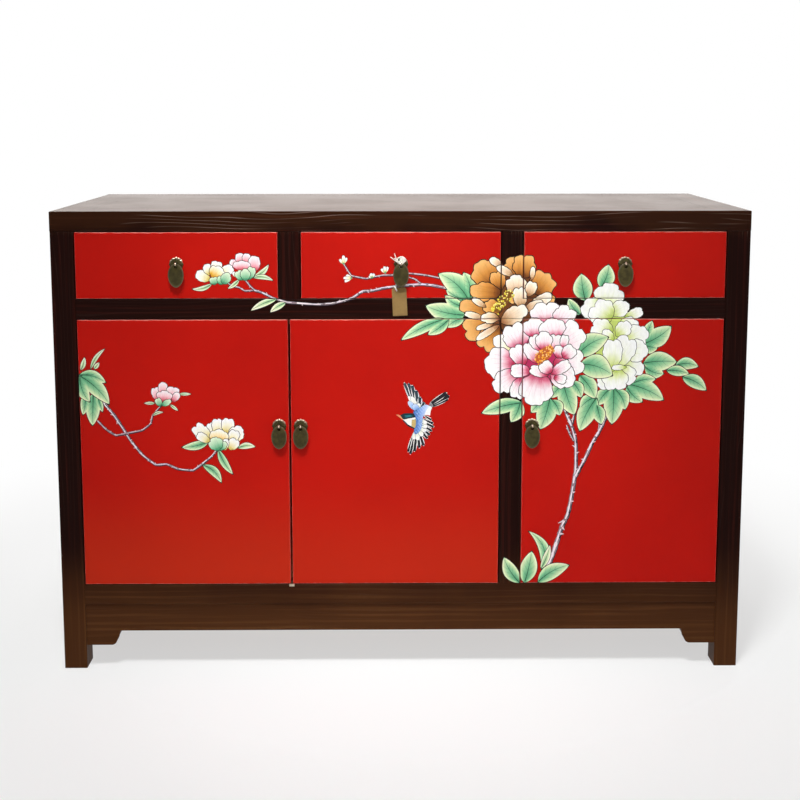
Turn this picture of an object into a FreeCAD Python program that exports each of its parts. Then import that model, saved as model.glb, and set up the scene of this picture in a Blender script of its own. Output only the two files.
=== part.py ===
# Side cabinet: an elm frame with three drawers over a pair of doors and a single door.
# Millimetres, +Z up, +X to the right and -Y to the front as one stands before the cabinet.
# The origin is on the floor, in the middle of the whole object with its pulls.
import FreeCAD, Part
import math
import os

Vector = FreeCAD.Vector

# Overall size of the carcass, without the pulls
width = 1200.0
depth = 440.0
height = 817.0

# Front of the frame, from the top down
top_frame_height = 35.0
drawer_opening_height = 116.5
mid_rail_height = 35.0
bottom_rail_height = 36.0
rail_above_floor = 118.5

# Frame members
post = 40.0
top_frame_width = 60.0
upright_width = 37.0
upright_offset = 191.5
side_rail_thickness = 30.0
arris = 1.5

# Joints of the frame, as shares of the members that hold them
rail_tenon_share = 0.6
side_tenon_share = 0.3
tenon_thickness_share = 0.3
tenon_shoulder_share = 0.28
upright_tenon_share = 0.33
post_tenon_share = 0.5
joint_gap = 0.1

# Floating panels and boards
groove_depth = 8.0
panel_play = 1.0
panel_thickness = 10.0
side_panel_recess = 8.0
back_panel_recess = 6.0
top_panel_thickness = 16.0
top_tongue_thickness = 8.0
top_panel_joint = 0.4
top_batten_width = 40.0
top_batten_height = 17.0
top_batten_place_share = 0.55
board_thickness = 15.0
shelf_height_share = 0.485
shelf_front_setback = 70.0
shelf_play = 0.5
cleat = 20.0

# Apron under the bottom rails, with a bracket at each end
apron_height = 50.0
apron_thickness = 20.0
apron_recess = 2.5
bracket_drop = 26.5
bracket_foot = 44.0
knee_radius = 10.0
bracket_waist = 58.0
bracket_top = 60.0
waist_drop_share = 0.34

# Doors
door_thickness = 20.0
door_edge_gap = 1.0
door_side_gap = 1.5
meeting_gap = 3.5
door_batten_width = 45.0
door_batten_thickness = 14.0
door_batten_end_gap = 55.0
door_batten_height_share = 0.22
pivot_radius = 2.5
pivot_inset = 10.0
pivot_behind_front = 5.5
pivot_in_rail = 14.0
pivot_in_door = 12.0
pivot_end_room = 1.0
running_gap = 0.05
stop_strip = 12.0
stop_gap = 0.3
stop_hinge_room = 60.0
catch_width = 9.0
catch_thickness = 0.8
catch_lap = 16.0
catch_drop = 4.0

# Drawers
drawer_front_thickness = 20.0
drawer_edge_gap = 1.0
drawer_side_gap = 1.5
drawer_back_room = 20.0
drawer_side_thickness = 12.0
drawer_side_height = 108.0
drawer_back_thickness = 12.0
drawer_bottom_thickness = 6.0
drawer_groove_depth = 6.0
drawer_groove_above_edge = 8.0
front_lap = 6.0
front_tails = 4
back_tails = 3
tail_neck_share = 0.52
tail_end_share = 0.74
runner_height = 24.0
runner_reach = 24.0
runner_gap = 0.3
guide_height = 24.0
guide_gap = 0.5

# Drop pulls: a fluted rose, a split staple with a ring, and a plate hung from the ring
rose_radius = 12.5
rose_valley_radius = 11.5
rose_lobes = 12
rose_rim = 0.8
rose_height = 3.0
rose_shoulder_share = 0.72
rose_shoulder_height_share = 0.74
rose_crown_share = 0.36
ring_inner = 2.6
ring_sides = 16
wire_width = 2.8
wire_thickness = 1.4
shank_side = 2.2
leg_edge = 0.7
shank_gap = 0.1
tail_length = 9.0
plate_sides = 32
plate_half_width = 13.5
plate_thickness = 1.6
plate_above_ring = 1.8
plate_below_ring = 39.5
plate_widest_below = 17.8
plate_hole_radius = 2.1
pull_inset = 17.0
drawer_pull_above_middle = 2.5
door_pull_height = 442.0

# Bare paper tag on the middle drawer's pull, and the string that it hangs from
tag_width = 25.0
tag_height = 49.0
tag_thickness = 0.8
tag_off_front = 0.8
tag_corner = 3.0
tag_hole_radius = 1.8
tag_hole_inset = 6.5
tag_hole_drop = 4.0
tag_tilt_degrees = 2.5
string_diameter = 1.6
string_sides = 8
string_bend_share = 0.45
# Each point: to the right of the ring, in front of the drawer, above the ring's middle
string_route = [
    (-11.5, 4.6, 10.5),
    (-2.9, 4.6, 2.5),
    (-3.6, 4.5, -14.0),
    (-8.0, 4.0, -33.0),
    (-9.3, 3.9, -42.6),
    (-9.3, 1.0, -45.2),
]

# Worked out from the sizes above
ring_outer = ring_inner + wire_thickness
ring_reach = rose_height + ring_outer
pull_reach = ring_reach + ring_outer
front = (pull_reach - depth) / 2
back = front + depth
side = width / 2
inner_x = side - post
inner_front = front + post
inner_back = back - post

top_z = height
top_frame_z = top_z - top_frame_height
mid_rail_top_z = top_frame_z - drawer_opening_height
mid_rail_z = mid_rail_top_z - mid_rail_height
bottom_rail_top_z = rail_above_floor + bottom_rail_height
apron_z = rail_above_floor - apron_height

rail_tenon = post * rail_tenon_share
side_tenon = post * side_tenon_share
upright_tenon = mid_rail_height * upright_tenon_share


class Box:
    """A rectangular piece, given by its low and high limit on each axis."""

    def __init__(self, x, y, z):
        self.x = x
        self.y = y
        self.z = z

    def solid(self):
        low = Vector(self.x[0], self.y[0], self.z[0])
        return Part.makeBox(self.x[1] - self.x[0], self.y[1] - self.y[0], self.z[1] - self.z[0], low)

    def grown(self, dx, dy, dz):
        return Box(
            (self.x[0] - dx, self.x[1] + dx),
            (self.y[0] - dy, self.y[1] + dy),
            (self.z[0] - dz, self.z[1] + dz),
        )

    def mirrored(self):
        return Box((-self.x[1], -self.x[0]), self.y, self.z)


def middle(pair):
    return (pair[0] + pair[1]) / 2


def around(centre, size):
    return (centre - size / 2, centre + size / 2)


def eased(solid, direction, outward):
    """Round the edges that run along a direction on the face that looks outward."""
    outer = max(vertex.Point.dot(outward) for vertex in solid.Vertexes)
    edges = []
    for edge in solid.Edges:
        along = edge.tangentAt(edge.FirstParameter)
        parallel = abs(abs(along.dot(direction)) - 1) < 1e-6
        if parallel and outer - edge.CenterOfMass.dot(outward) < arris:
            edges.append(edge)
    return solid.makeFillet(arris, edges)


def joined(solids):
    whole = solids[0]
    for solid in solids[1:]:
        whole = whole.fuse(solid)
    return whole.removeSplitter()


def overlaps(shape, box):
    bounds = shape.BoundBox
    return (
        bounds.XMin < box.x[1] and bounds.XMax > box.x[0]
        and bounds.YMin < box.y[1] and bounds.YMax > box.y[0]
        and bounds.ZMin < box.z[1] and bounds.ZMax > box.z[0]
    )


# Tenons, as boxes that stand out of the ends of a member

def tenons_x(box, length):
    thick = (box.y[1] - box.y[0]) * tenon_thickness_share
    shoulder = (box.z[1] - box.z[0]) * tenon_shoulder_share
    y = around(middle(box.y), thick)
    z = (box.z[0] + shoulder, box.z[1] - shoulder)
    return [Box((box.x[0] - length, box.x[0]), y, z), Box((box.x[1], box.x[1] + length), y, z)]


def tenons_y(box, length):
    thick = (box.x[1] - box.x[0]) * tenon_thickness_share
    shoulder = (box.z[1] - box.z[0]) * tenon_shoulder_share
    x = around(middle(box.x), thick)
    z = (box.z[0] + shoulder, box.z[1] - shoulder)
    return [Box(x, (box.y[0] - length, box.y[0]), z), Box(x, (box.y[1], box.y[1] + length), z)]


def tenons_z(box, length):
    thick = (box.y[1] - box.y[0]) * tenon_thickness_share
    shoulder = (box.x[1] - box.x[0]) * tenon_shoulder_share
    y = around(middle(box.y), thick)
    x = (box.x[0] + shoulder, box.x[1] - shoulder)
    return [Box(x, y, (box.z[0] - length, box.z[0])), Box(x, y, (box.z[1], box.z[1] + length))]


# Places of the frame members

mid_z = (mid_rail_z, mid_rail_top_z)
bottom_z = (rail_above_floor, bottom_rail_top_z)
post_z = (0, top_frame_z)
left_x = (-side, -inner_x)
right_x = (inner_x, side)
front_y = (front, inner_front)
back_y = (inner_back, back)
back_rail_y = (back - side_rail_thickness, back)
left_rail_x = (-side, -side + side_rail_thickness)
between_x = (-inner_x, inner_x)
between_y = (inner_front, inner_back)

left_upright_x = around(-upright_offset, upright_width)
right_upright_x = around(upright_offset, upright_width)

# Every tenon and panel edge, with the member that owns it: it is cut out of what it enters
entering = []

# Solids of the frame, by node: a node may hold several alike pieces
frame = {}


def add_member(node, box, tenons, direction, outward):
    """A straight frame member with its tenons, eased along the edges of its outward face."""
    pieces = [eased(box.solid(), direction, outward)]
    for tenon in tenons:
        pieces.append(tenon.solid())
        entering.append((node, tenon.grown(joint_gap, joint_gap, joint_gap)))
    frame.setdefault(node, []).append(joined(pieces))


def add_posts():
    places = {
        "post_front_left": (left_x, front_y),
        "post_front_right": (right_x, front_y),
        "post_back_left": (left_x, back_y),
        "post_back_right": (right_x, back_y),
    }
    thick = post * post_tenon_share
    for node, (x, y) in places.items():
        tenon_top = top_frame_z + top_frame_height * rail_tenon_share
        tenon = Box(around(middle(x), thick), around(middle(y), thick), (top_frame_z, tenon_top))
        outward = Vector(0, -1, 0) if y == front_y else Vector(0, 1, 0)
        add_member(node, Box(x, y, post_z), [tenon], Vector(0, 0, 1), outward)


def add_front_members():
    x_way = Vector(1, 0, 0)
    z_way = Vector(0, 0, 1)
    outward = Vector(0, -1, 0)
    for node, z in (("mid_rail_front", mid_z), ("bottom_rail_front", bottom_z)):
        box = Box(between_x, front_y, z)
        add_member(node, box, tenons_x(box, rail_tenon), x_way, outward)
    for x in (left_upright_x, right_upright_x):
        box = Box(x, front_y, (mid_rail_top_z, top_frame_z))
        add_member("drawer_dividers", box, tenons_z(box, upright_tenon), z_way, outward)
    box = Box(right_upright_x, front_y, (bottom_rail_top_z, mid_rail_z))
    add_member("mullion", box, tenons_z(box, upright_tenon), z_way, outward)


def add_side_and_back_rails():
    for z in (mid_z, bottom_z):
        left = Box(left_rail_x, between_y, z)
        for box, way in ((left, -1), (left.mirrored(), 1)):
            add_member("side_rails", box, tenons_y(box, side_tenon), Vector(0, 1, 0), Vector(way, 0, 0))
        box = Box(between_x, back_rail_y, z)
        add_member("back_rails", box, tenons_x(box, side_tenon), Vector(1, 0, 0), Vector(0, 1, 0))


def mitred_rail(corners, outward):
    """One member of the mitred top frame, from its four corners in plan."""
    points = [Vector(x, y, top_frame_z) for x, y in corners]
    face = Part.Face(Part.makePolygon(points + points[:1]))
    solid = face.extrude(Vector(0, 0, top_frame_height))
    along = (points[1] - points[0]).normalize()
    return eased(solid, along, outward)


def add_top_frame():
    in_x = side - top_frame_width
    in_front = front + top_frame_width
    in_back = back - top_frame_width
    rails = {
        "top_rail_front": ([(-side, front), (side, front), (in_x, in_front), (-in_x, in_front)], Vector(0, -1, 0)),
        "top_rail_back": ([(side, back), (-side, back), (-in_x, in_back), (in_x, in_back)], Vector(0, 1, 0)),
        "top_rail_left": ([(-side, back), (-side, front), (-in_x, in_front), (-in_x, in_back)], Vector(-1, 0, 0)),
        "top_rail_right": ([(side, front), (side, back), (in_x, in_back), (in_x, in_front)], Vector(1, 0, 0)),
    }
    for node, (corners, outward) in rails.items():
        frame[node] = [mitred_rail(corners, outward)]


# Panels and boards

panels = {}


def add_top_panel():
    in_x = side - top_frame_width
    in_y = (front + top_frame_width, back - top_frame_width)
    under = top_z - top_panel_thickness
    body = Box((-in_x, in_x), in_y, (under, top_z)).grown(-top_panel_joint, -top_panel_joint, 0)
    tongue = Box((-in_x, in_x), in_y, (under, under + top_tongue_thickness))
    tongue = tongue.grown(groove_depth, groove_depth, 0)
    panels["top_panel"] = [joined([body.solid(), tongue.solid()])]
    entering.append(("top_panel", tongue.grown(panel_play, panel_play, joint_gap)))
    battens = []
    for way in (-1, 1):
        x = around(way * in_x * top_batten_place_share, top_batten_width)
        battens.append(Box(x, in_y, (under - top_batten_height, under)).solid())
    panels["top_battens"] = battens


def add_wall_panels():
    lower = (bottom_rail_top_z, mid_rail_z)
    upper = (mid_rail_top_z, top_frame_z)
    outer = -side + side_panel_recess
    for z in (upper, lower):
        left = Box((outer, outer + panel_thickness), between_y, z).grown(0, groove_depth, groove_depth)
        for box in (left, left.mirrored()):
            panels.setdefault("side_panels", []).append(box.solid())
            entering.append(("side_panels", box.grown(joint_gap, panel_play, panel_play)))
        y = (back - back_panel_recess - panel_thickness, back - back_panel_recess)
        box = Box(between_x, y, z).grown(groove_depth, 0, groove_depth)
        panels.setdefault("back_panels", []).append(box.solid())
        entering.append(("back_panels", box.grown(panel_play, joint_gap, panel_play)))


def add_bottom_board():
    """A board let into a rebate round the top of the bottom rails, cut out round the posts."""
    in_x = side - side_rail_thickness + groove_depth
    y = (inner_front - groove_depth, back - side_rail_thickness + groove_depth)
    box = Box((-in_x, in_x), y, (bottom_rail_top_z - board_thickness, bottom_rail_top_z))
    solid = box.solid()
    for x in (left_x, right_x):
        for y in (front_y, back_y):
            solid = solid.cut(Box(x, y, post_z).grown(panel_play, panel_play, 0).solid())
    panels["bottom_board"] = [solid]
    entering.append(("bottom_board", box.grown(panel_play, panel_play, 0)))


# Inside of the cupboards, and what carries the drawers

inside_back = back - back_panel_recess - panel_thickness
inside_x = side - side_panel_recess - panel_thickness
partition_x = around(upright_offset, board_thickness)
shelf_z = bottom_rail_top_z + (mid_rail_z - bottom_rail_top_z) * shelf_height_share
inside = {}


def add_partition():
    box = Box(partition_x, (inner_front, inside_back), (bottom_rail_top_z, mid_rail_top_z - runner_height))
    rail = Box(between_x, back_rail_y, mid_z).grown(0, joint_gap, joint_gap)
    inside["partition"] = [box.solid().cut(rail.solid())]


def add_shelves():
    y = (inner_front + shelf_front_setback, inner_back - shelf_play)
    z = (shelf_z, shelf_z + board_thickness)
    cleat_z = (shelf_z - cleat, shelf_z)
    edges = {
        "shelf_wide": (-inside_x, partition_x[0]),
        "shelf_narrow": (partition_x[1], inside_x),
    }
    cleats = []
    for node, x in edges.items():
        inside[node] = [Box(x, y, z).grown(-shelf_play, 0, 0).solid()]
        for cleat_x in ((x[0], x[0] + cleat), (x[1] - cleat, x[1])):
            at_wall = abs(middle(cleat_x)) > inner_x
            cleat_y = between_y if at_wall else y
            cleats.append(Box(cleat_x, cleat_y, cleat_z).solid())
    inside["shelf_cleats"] = cleats


def add_runners():
    """Runners under the drawers' sides, each with a guide on top that keeps the drawer straight."""
    y = (inner_front, back - side_rail_thickness)
    under = (mid_rail_top_z - runner_height, mid_rail_top_z)
    above = (mid_rail_top_z, mid_rail_top_z + guide_height)
    slack = drawer_side_gap - guide_gap
    wall = side - side_rail_thickness
    runners = []
    guides = []
    for x in (left_upright_x, right_upright_x):
        guide_x = (x[0] - slack, x[1] + slack)
        guides.append(Box(guide_x, y, above))
        runners.append(Box((guide_x[0] - runner_reach, guide_x[1] + runner_reach), y, under))
    guide = Box((-wall, -inner_x + slack), y, above)
    runner = Box((-wall, guide.x[1] + runner_reach), y, under)
    posts_back = [Box(x, back_y, post_z).grown(joint_gap, joint_gap, 0).solid() for x in (left_x, right_x)]
    for box in (guide, guide.mirrored()):
        guides.append(box)
    for box in (runner, runner.mirrored()):
        runners.append(box)
    inside["drawer_guides"] = [box.solid().cut(posts_back) for box in guides]
    inside["drawer_runners"] = [box.solid().cut(posts_back) for box in runners]


# Apron and its brackets

def bracket_profile(start, way):
    """Outline of one bracket: a flat foot, a round knee, and a waist that runs up to the apron."""
    def at(reach, drop):
        return (start + way * reach, apron_z - drop)

    knee_low = bracket_drop - knee_radius * (1 - math.sqrt(1 / 2))
    return [
        at(0, bracket_drop),
        at(bracket_foot, bracket_drop),
        at(bracket_foot + knee_radius * math.sqrt(1 / 2), knee_low),
        at(bracket_foot + knee_radius, bracket_drop - knee_radius),
        at(bracket_waist, bracket_drop * waist_drop_share),
        at(bracket_top, 0),
    ]


def apron_solid(low, high, to_point, thickness):
    """An apron between two posts, drawn in the plane of its face and given its thickness."""
    def edges(start, way):
        flat, foot, knee_middle, knee, waist, top = [to_point(*p) for p in bracket_profile(start, way)]
        return [
            Part.makeLine(flat, foot),
            Part.Arc(foot, knee_middle, knee).toShape(),
            Part.makeLine(knee, waist),
            Part.makeLine(waist, top),
        ], flat, top

    left, left_flat, left_top = edges(low, 1)
    right, right_flat, right_top = edges(high, -1)
    upper_left = to_point(low, rail_above_floor)
    upper_right = to_point(high, rail_above_floor)
    around_edges = left + [Part.makeLine(left_top, right_top)] + right
    around_edges += [Part.makeLine(right_flat, upper_right), Part.makeLine(upper_right, upper_left)]
    around_edges.append(Part.makeLine(upper_left, left_flat))
    face = Part.Face(Part.Wire(Part.__sortEdges__(around_edges)))
    return face.extrude(thickness)


def add_aprons():
    z = (apron_z, rail_above_floor)
    y = (front + apron_recess, front + apron_recess + apron_thickness)
    solid = apron_solid(-inner_x, inner_x, lambda u, v: Vector(u, y[0], v), Vector(0, apron_thickness, 0))
    tenons = tenons_x(Box(between_x, y, z), side_tenon)
    frame["apron_front"] = [joined([solid] + [t.solid() for t in tenons])]
    for tenon in tenons:
        entering.append(("apron_front", tenon.grown(joint_gap, joint_gap, joint_gap)))

    outer = side - apron_recess
    sides = {"apron_left": -outer, "apron_right": outer - apron_thickness}
    for node, x in sides.items():
        solid = apron_solid(inner_front, inner_back, lambda u, v: Vector(x, u, v), Vector(apron_thickness, 0, 0))
        tenons = tenons_y(Box((x, x + apron_thickness), between_y, z), side_tenon)
        frame[node] = [joined([solid] + [t.solid() for t in tenons])]
        for tenon in tenons:
            entering.append((node, tenon.grown(joint_gap, joint_gap, joint_gap)))


# Doors: a slab on two pivot pins that stand in the rails

pair_x = (-inner_x, right_upright_x[0])
single_x = (right_upright_x[1], inner_x)
meeting_x = middle(pair_x)
door_y = (front, front + door_thickness)
door_z = (bottom_rail_top_z + door_edge_gap, mid_rail_z - door_edge_gap)
door_x = {
    "door_left": (pair_x[0] + door_side_gap, meeting_x - meeting_gap / 2),
    "door_middle": (meeting_x + meeting_gap / 2, pair_x[1] - door_side_gap),
    "door_right": (single_x[0] + door_side_gap, single_x[1] - door_side_gap),
}
pivot_y = front + pivot_behind_front
pivot_x = {
    "door_left": door_x["door_left"][0] + pivot_inset,
    "door_middle": door_x["door_middle"][1] - pivot_inset,
    "door_right": door_x["door_right"][1] - pivot_inset,
}


def front_slab(x, y, z):
    """A slab whose front face has its four edges eased."""
    solid = Box(x, y, z).solid()
    on_front = [edge for edge in solid.Edges if abs(edge.CenterOfMass.y - y[0]) < joint_gap]
    return solid.makeFillet(arris, on_front)


def pivot(node, radius, room):
    """The two pins of a door, or the holes for them where room is given."""
    pins = []
    for seam, way in ((bottom_rail_top_z, 1), (mid_rail_z, -1)):
        start = seam - way * (pivot_in_rail + room)
        length = pivot_in_rail + pivot_in_door + 2 * room
        pins.append(Part.makeCylinder(radius, length, Vector(pivot_x[node], pivot_y, start), Vector(0, 0, way)))
    return pins


def make_door(node, pull_hole):
    x = door_x[node]
    slab = front_slab(x, door_y, door_z)
    slab = slab.cut(pivot(node, pivot_radius + running_gap, pivot_end_room)).cut(pull_hole)
    batten_y = (door_y[1], door_y[1] + door_batten_thickness)
    batten_x = (x[0] + door_batten_end_gap, x[1] - door_batten_end_gap)
    pieces = [slab]
    opening = door_z[1] - door_z[0]
    for share in (door_batten_height_share, 1 - door_batten_height_share):
        z = around(door_z[0] + opening * share, door_batten_width)
        pieces.append(Box(batten_x, batten_y, z).solid())
    return pieces


def add_stops():
    """Strips under the mid rail that the doors shut against, clear of the corners that swing in."""
    y = (door_y[1] + stop_gap, door_y[1] + stop_gap + stop_strip)
    z = (mid_rail_z - stop_strip, mid_rail_z)
    pair = Box((pair_x[0] + stop_hinge_room, pair_x[1] - stop_hinge_room), y, z)
    single = Box((single_x[0] + door_side_gap, single_x[1] - stop_hinge_room), y, z)
    inside["door_stops"] = [pair.solid(), single.solid()]


def catch_plate():
    """A thin angle let into the bottom rail's front edge, where the pair of doors meets."""
    x = around(meeting_x, catch_width)
    flat = Box(x, (front, front + catch_lap), (bottom_rail_top_z - catch_thickness, bottom_rail_top_z))
    lip = Box(x, (front, front + catch_thickness), (bottom_rail_top_z - catch_drop, bottom_rail_top_z))
    return joined([flat.solid(), lip.solid()]), [flat, lip]


# Drawers: a half-blind dovetailed front, through dovetails at the back, a bottom in grooves

drawer_opening_x = {
    "drawer_left": (-inner_x, left_upright_x[0]),
    "drawer_middle": (left_upright_x[1], right_upright_x[0]),
    "drawer_right": (right_upright_x[1], inner_x),
}
drawer_y = (front, front + drawer_front_thickness)
drawer_z = (mid_rail_top_z + drawer_edge_gap, top_frame_z - drawer_edge_gap)
drawer_end = inside_back - drawer_back_room
drawer_side_z = (mid_rail_top_z + runner_gap, mid_rail_top_z + runner_gap + drawer_side_height)


def tails(x, z, shoulder, end, count):
    """A row of dovetails on a drawer side, wider at their ends than at the shoulder."""
    pitch = (z[1] - z[0]) / count
    neck = pitch * tail_neck_share / 2
    tip = pitch * tail_end_share / 2
    row = []
    for number in range(count):
        mid = z[0] + pitch * (number + 1 / 2)
        outline = [(shoulder, mid - neck), (end, mid - tip), (end, mid + tip), (shoulder, mid + neck)]
        points = [Vector(x[0], y, height_at) for y, height_at in outline]
        face = Part.Face(Part.makePolygon(points + points[:1]))
        row.append(face.extrude(Vector(x[1] - x[0], 0, 0)))
    return row


def make_drawer(node, pull_hole):
    opening = drawer_opening_x[node]
    x = (opening[0] + drawer_side_gap, opening[1] - drawer_side_gap)
    sides_x = [(x[0], x[0] + drawer_side_thickness), (x[1] - drawer_side_thickness, x[1])]
    groove_z = drawer_side_z[0] + drawer_groove_above_edge
    bottom_z = (groove_z, groove_z + drawer_bottom_thickness)
    bottom_x = (sides_x[0][1] - drawer_groove_depth, sides_x[1][0] + drawer_groove_depth)
    bottom = Box(bottom_x, (drawer_y[1] - drawer_groove_depth, drawer_end), bottom_z)
    groove = bottom.grown(panel_play, panel_play, joint_gap).solid()

    back_y = (drawer_end - drawer_back_thickness, drawer_end)
    back_z = (bottom_z[1] + joint_gap, drawer_side_z[1])
    panel = front_slab(x, drawer_y, drawer_z).cut(pull_hole)
    back_board = Box(x, back_y, back_z).solid()
    sides = []
    for side_x in sides_x:
        front_row = tails(side_x, drawer_side_z, drawer_y[1], drawer_y[0] + front_lap, front_tails)
        back_row = tails(side_x, back_z, back_y[0], back_y[1], back_tails)
        body = Box(side_x, (drawer_y[1], back_y[0]), drawer_side_z).solid()
        heel = Box(side_x, back_y, (drawer_side_z[0], bottom_z[1])).solid()
        panel = panel.cut(front_row)
        back_board = back_board.cut(back_row)
        sides.append(joined([body, heel] + front_row + back_row).cut(groove))
    return {
        node + "_front": [panel.cut(groove)],
        node + "_sides": sides,
        node + "_back": [back_board],
        node + "_bottom": [bottom.solid()],
    }


# Drop pulls

def closed_face(points):
    return Part.Face(Part.makePolygon(points + points[:1]))


def rose(x, z):
    """A cast rose with a lobed rim, its flutes drawn up to a flat crown by one flat facet to each half lobe."""
    levels = [
        (0, 1),
        (rose_rim, 1),
        (rose_height * rose_shoulder_height_share, rose_shoulder_share),
        (rose_height, rose_crown_share),
    ]
    rings = []
    for rise, share in levels:
        points = []
        for step in range(2 * rose_lobes):
            radius = share * (rose_radius if step % 2 == 0 else rose_valley_radius)
            angle = math.pi * step / rose_lobes
            points.append(Vector(x + radius * math.sin(angle), front - rise, z + radius * math.cos(angle)))
        rings.append(points)
    faces = [closed_face(rings[0]), closed_face(rings[-1])]
    for low, high in zip(rings, rings[1:]):
        for step in range(len(low)):
            faces.append(closed_face([low[step - 1], low[step], high[step], high[step - 1]]))
    shell = Part.Shell(faces)
    shell.sewShape()
    return Part.Solid(shell)


def round_face(sides, corner):
    """A round or oval face in equal steps, each corner placed by a function of its angle."""
    return closed_face([corner(2 * math.pi * step / sides) for step in range(sides)])


def staple(x, z, wood_thickness):
    """A split staple: a ring in front, a shank through the wood, and two legs turned over behind."""
    middle_y = front - ring_reach
    half = wire_width / 2

    def disc(radius):
        def corner(angle):
            return Vector(x - half, middle_y + radius * math.sin(angle), z + radius * math.cos(angle))

        return round_face(ring_sides, corner).extrude(Vector(wire_width, 0, 0))

    wood_back = front + wood_thickness
    start = front - rose_height - wire_thickness / 2
    shank = Box(around(x, shank_side), (start, wood_back), around(z, shank_side)).solid()
    leg = [
        (-half, 0), (half, 0), (half, wire_thickness - leg_edge),
        (half - leg_edge, wire_thickness), (-half + leg_edge, wire_thickness),
        (-half, wire_thickness - leg_edge),
    ]
    low = z - tail_length
    legs = closed_face([Vector(x + across, wood_back + out, low) for across, out in leg])
    legs = legs.extrude(Vector(0, 0, 2 * tail_length))
    return joined([disc(ring_outer), shank, legs]).cut(disc(ring_inner))


def drop_plate(x, z):
    """A long oval plate that hangs from the ring by a hole near its top."""
    widest = z - plate_widest_below
    face_y = front - ring_reach - plate_thickness / 2
    upper = plate_widest_below + plate_above_ring
    lower = plate_below_ring - plate_widest_below

    def corner(angle):
        reach = upper if math.cos(angle) > 0 else lower
        return Vector(x + plate_half_width * math.sin(angle), face_y, widest + reach * math.cos(angle))

    solid = round_face(plate_sides, corner).extrude(Vector(0, plate_thickness, 0))
    hole_z = z - (ring_inner + ring_outer) / 2
    hole = Part.makeCylinder(plate_hole_radius, plate_thickness, Vector(x, face_y, hole_z), Vector(0, 1, 0))
    return solid.cut(hole)


def pull_hole(x, z, wood_thickness):
    radius = shank_side * math.sqrt(1 / 2) + shank_gap
    return Part.makeCylinder(radius, wood_thickness, Vector(x, front, z), Vector(0, 1, 0))


drawer_pull_z = middle(drawer_z) + drawer_pull_above_middle
pull_places = {
    "drawer_left": (middle(drawer_opening_x["drawer_left"]), drawer_pull_z),
    "drawer_middle": (middle(drawer_opening_x["drawer_middle"]), drawer_pull_z),
    "drawer_right": (middle(drawer_opening_x["drawer_right"]), drawer_pull_z),
    "door_left": (door_x["door_left"][1] - pull_inset, door_pull_height),
    "door_middle": (door_x["door_middle"][0] + pull_inset, door_pull_height),
    "door_right": (door_x["door_right"][0] + pull_inset, door_pull_height),
}
leaf_thickness = {
    node: (drawer_front_thickness if node.startswith("drawer") else door_thickness) for node in pull_places
}


def make_pull(node):
    x, z = pull_places[node]
    shank = Box(around(x, shank_side), (front - rose_height, front), around(z, shank_side)).solid()
    return {
        "pull_" + node: [rose(x, z).cut(shank), staple(x, z, leaf_thickness[node])],
        "drop_" + node: [drop_plate(x, z)],
    }


# Tag and string

def make_tag():
    x, z = pull_places["drawer_middle"]
    hole_x = x + string_route[-1][0]
    hole_z = z + string_route[-1][2]
    left = hole_x - tag_hole_inset
    top = hole_z + tag_hole_drop
    y = front - tag_off_front - tag_thickness
    outline = [
        (left, top - tag_corner), (left + tag_corner, top),
        (left + tag_width - tag_corner, top), (left + tag_width, top - tag_corner),
        (left + tag_width, top - tag_height), (left, top - tag_height),
    ]
    card = closed_face([Vector(u, y, v) for u, v in outline]).extrude(Vector(0, tag_thickness, 0))
    hole = Part.makeCylinder(tag_hole_radius, tag_thickness, Vector(hole_x, y, hole_z), Vector(0, 1, 0))
    card = card.cut(hole)
    card.rotate(Vector(hole_x, y, hole_z), Vector(0, 1, 0), -tag_tilt_degrees)
    return card


def rounded_path(points):
    """Straight runs joined by tangent arcs, each as large as its two runs allow."""
    edges = []
    start = points[0]
    for before, at, after in zip(points, points[1:], points[2:]):
        arriving = (at - before).normalize()
        leaving = (after - at).normalize()
        half_turn = arriving.getAngle(leaving) / 2
        reach = string_bend_share * min((at - before).Length, (after - at).Length)
        radius = reach / math.tan(half_turn)
        print("string bend radius %.1f mm" % radius)
        first = at - arriving * reach
        last = at + leaving * reach
        inward = (leaving - arriving).normalize()
        crest = at + inward * (radius / math.cos(half_turn) - radius)
        edges.append(Part.makeLine(start, first))
        edges.append(Part.Arc(first, crest, last).toShape())
        start = last
    edges.append(Part.makeLine(start, points[-1]))
    return Part.Wire(edges)


def make_string():
    x, z = pull_places["drawer_middle"]
    points = [Vector(x + u, front - out, z + v) for u, out, v in string_route]
    path = rounded_path(points)
    along = (points[1] - points[0]).normalize()
    across = along.cross(Vector(0, 1, 0)).normalize() * (string_diameter / 2)
    up = along.cross(across)
    section = round_face(string_sides, lambda angle: points[0] + across * math.cos(angle) + up * math.sin(angle))
    tube = path.makePipeShell([section.OuterWire], True, False)
    print("string volume %.2f, section times length %.2f" % (tube.Volume, section.Area * path.Length))
    return tube


# Putting it together

def cut_joints():
    """Cut every tenon, tongue and panel edge out of the members that it enters."""
    tools = [(owner, box, box.solid()) for owner, box in entering]
    for node, solids in frame.items():
        finished = []
        for solid in solids:
            for owner, box, tool in tools:
                if owner != node and overlaps(solid, box):
                    solid = solid.cut(tool)
            finished.append(solid)
        frame[node] = finished


def cut_pivots_and_catch():
    holes = []
    pins = []
    for node in door_x:
        holes += pivot(node, pivot_radius + running_gap, pivot_end_room)
        pins += pivot(node, pivot_radius, 0)
    plate, plate_boxes = catch_plate()
    for node in ("mid_rail_front", "bottom_rail_front"):
        frame[node] = [solid.cut(holes) for solid in frame[node]]
    frame["bottom_rail_front"] = [solid.cut([b.solid() for b in plate_boxes]) for solid in frame["bottom_rail_front"]]
    inside["pivot_pins"] = pins
    inside["catch_plate"] = [plate]


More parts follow.
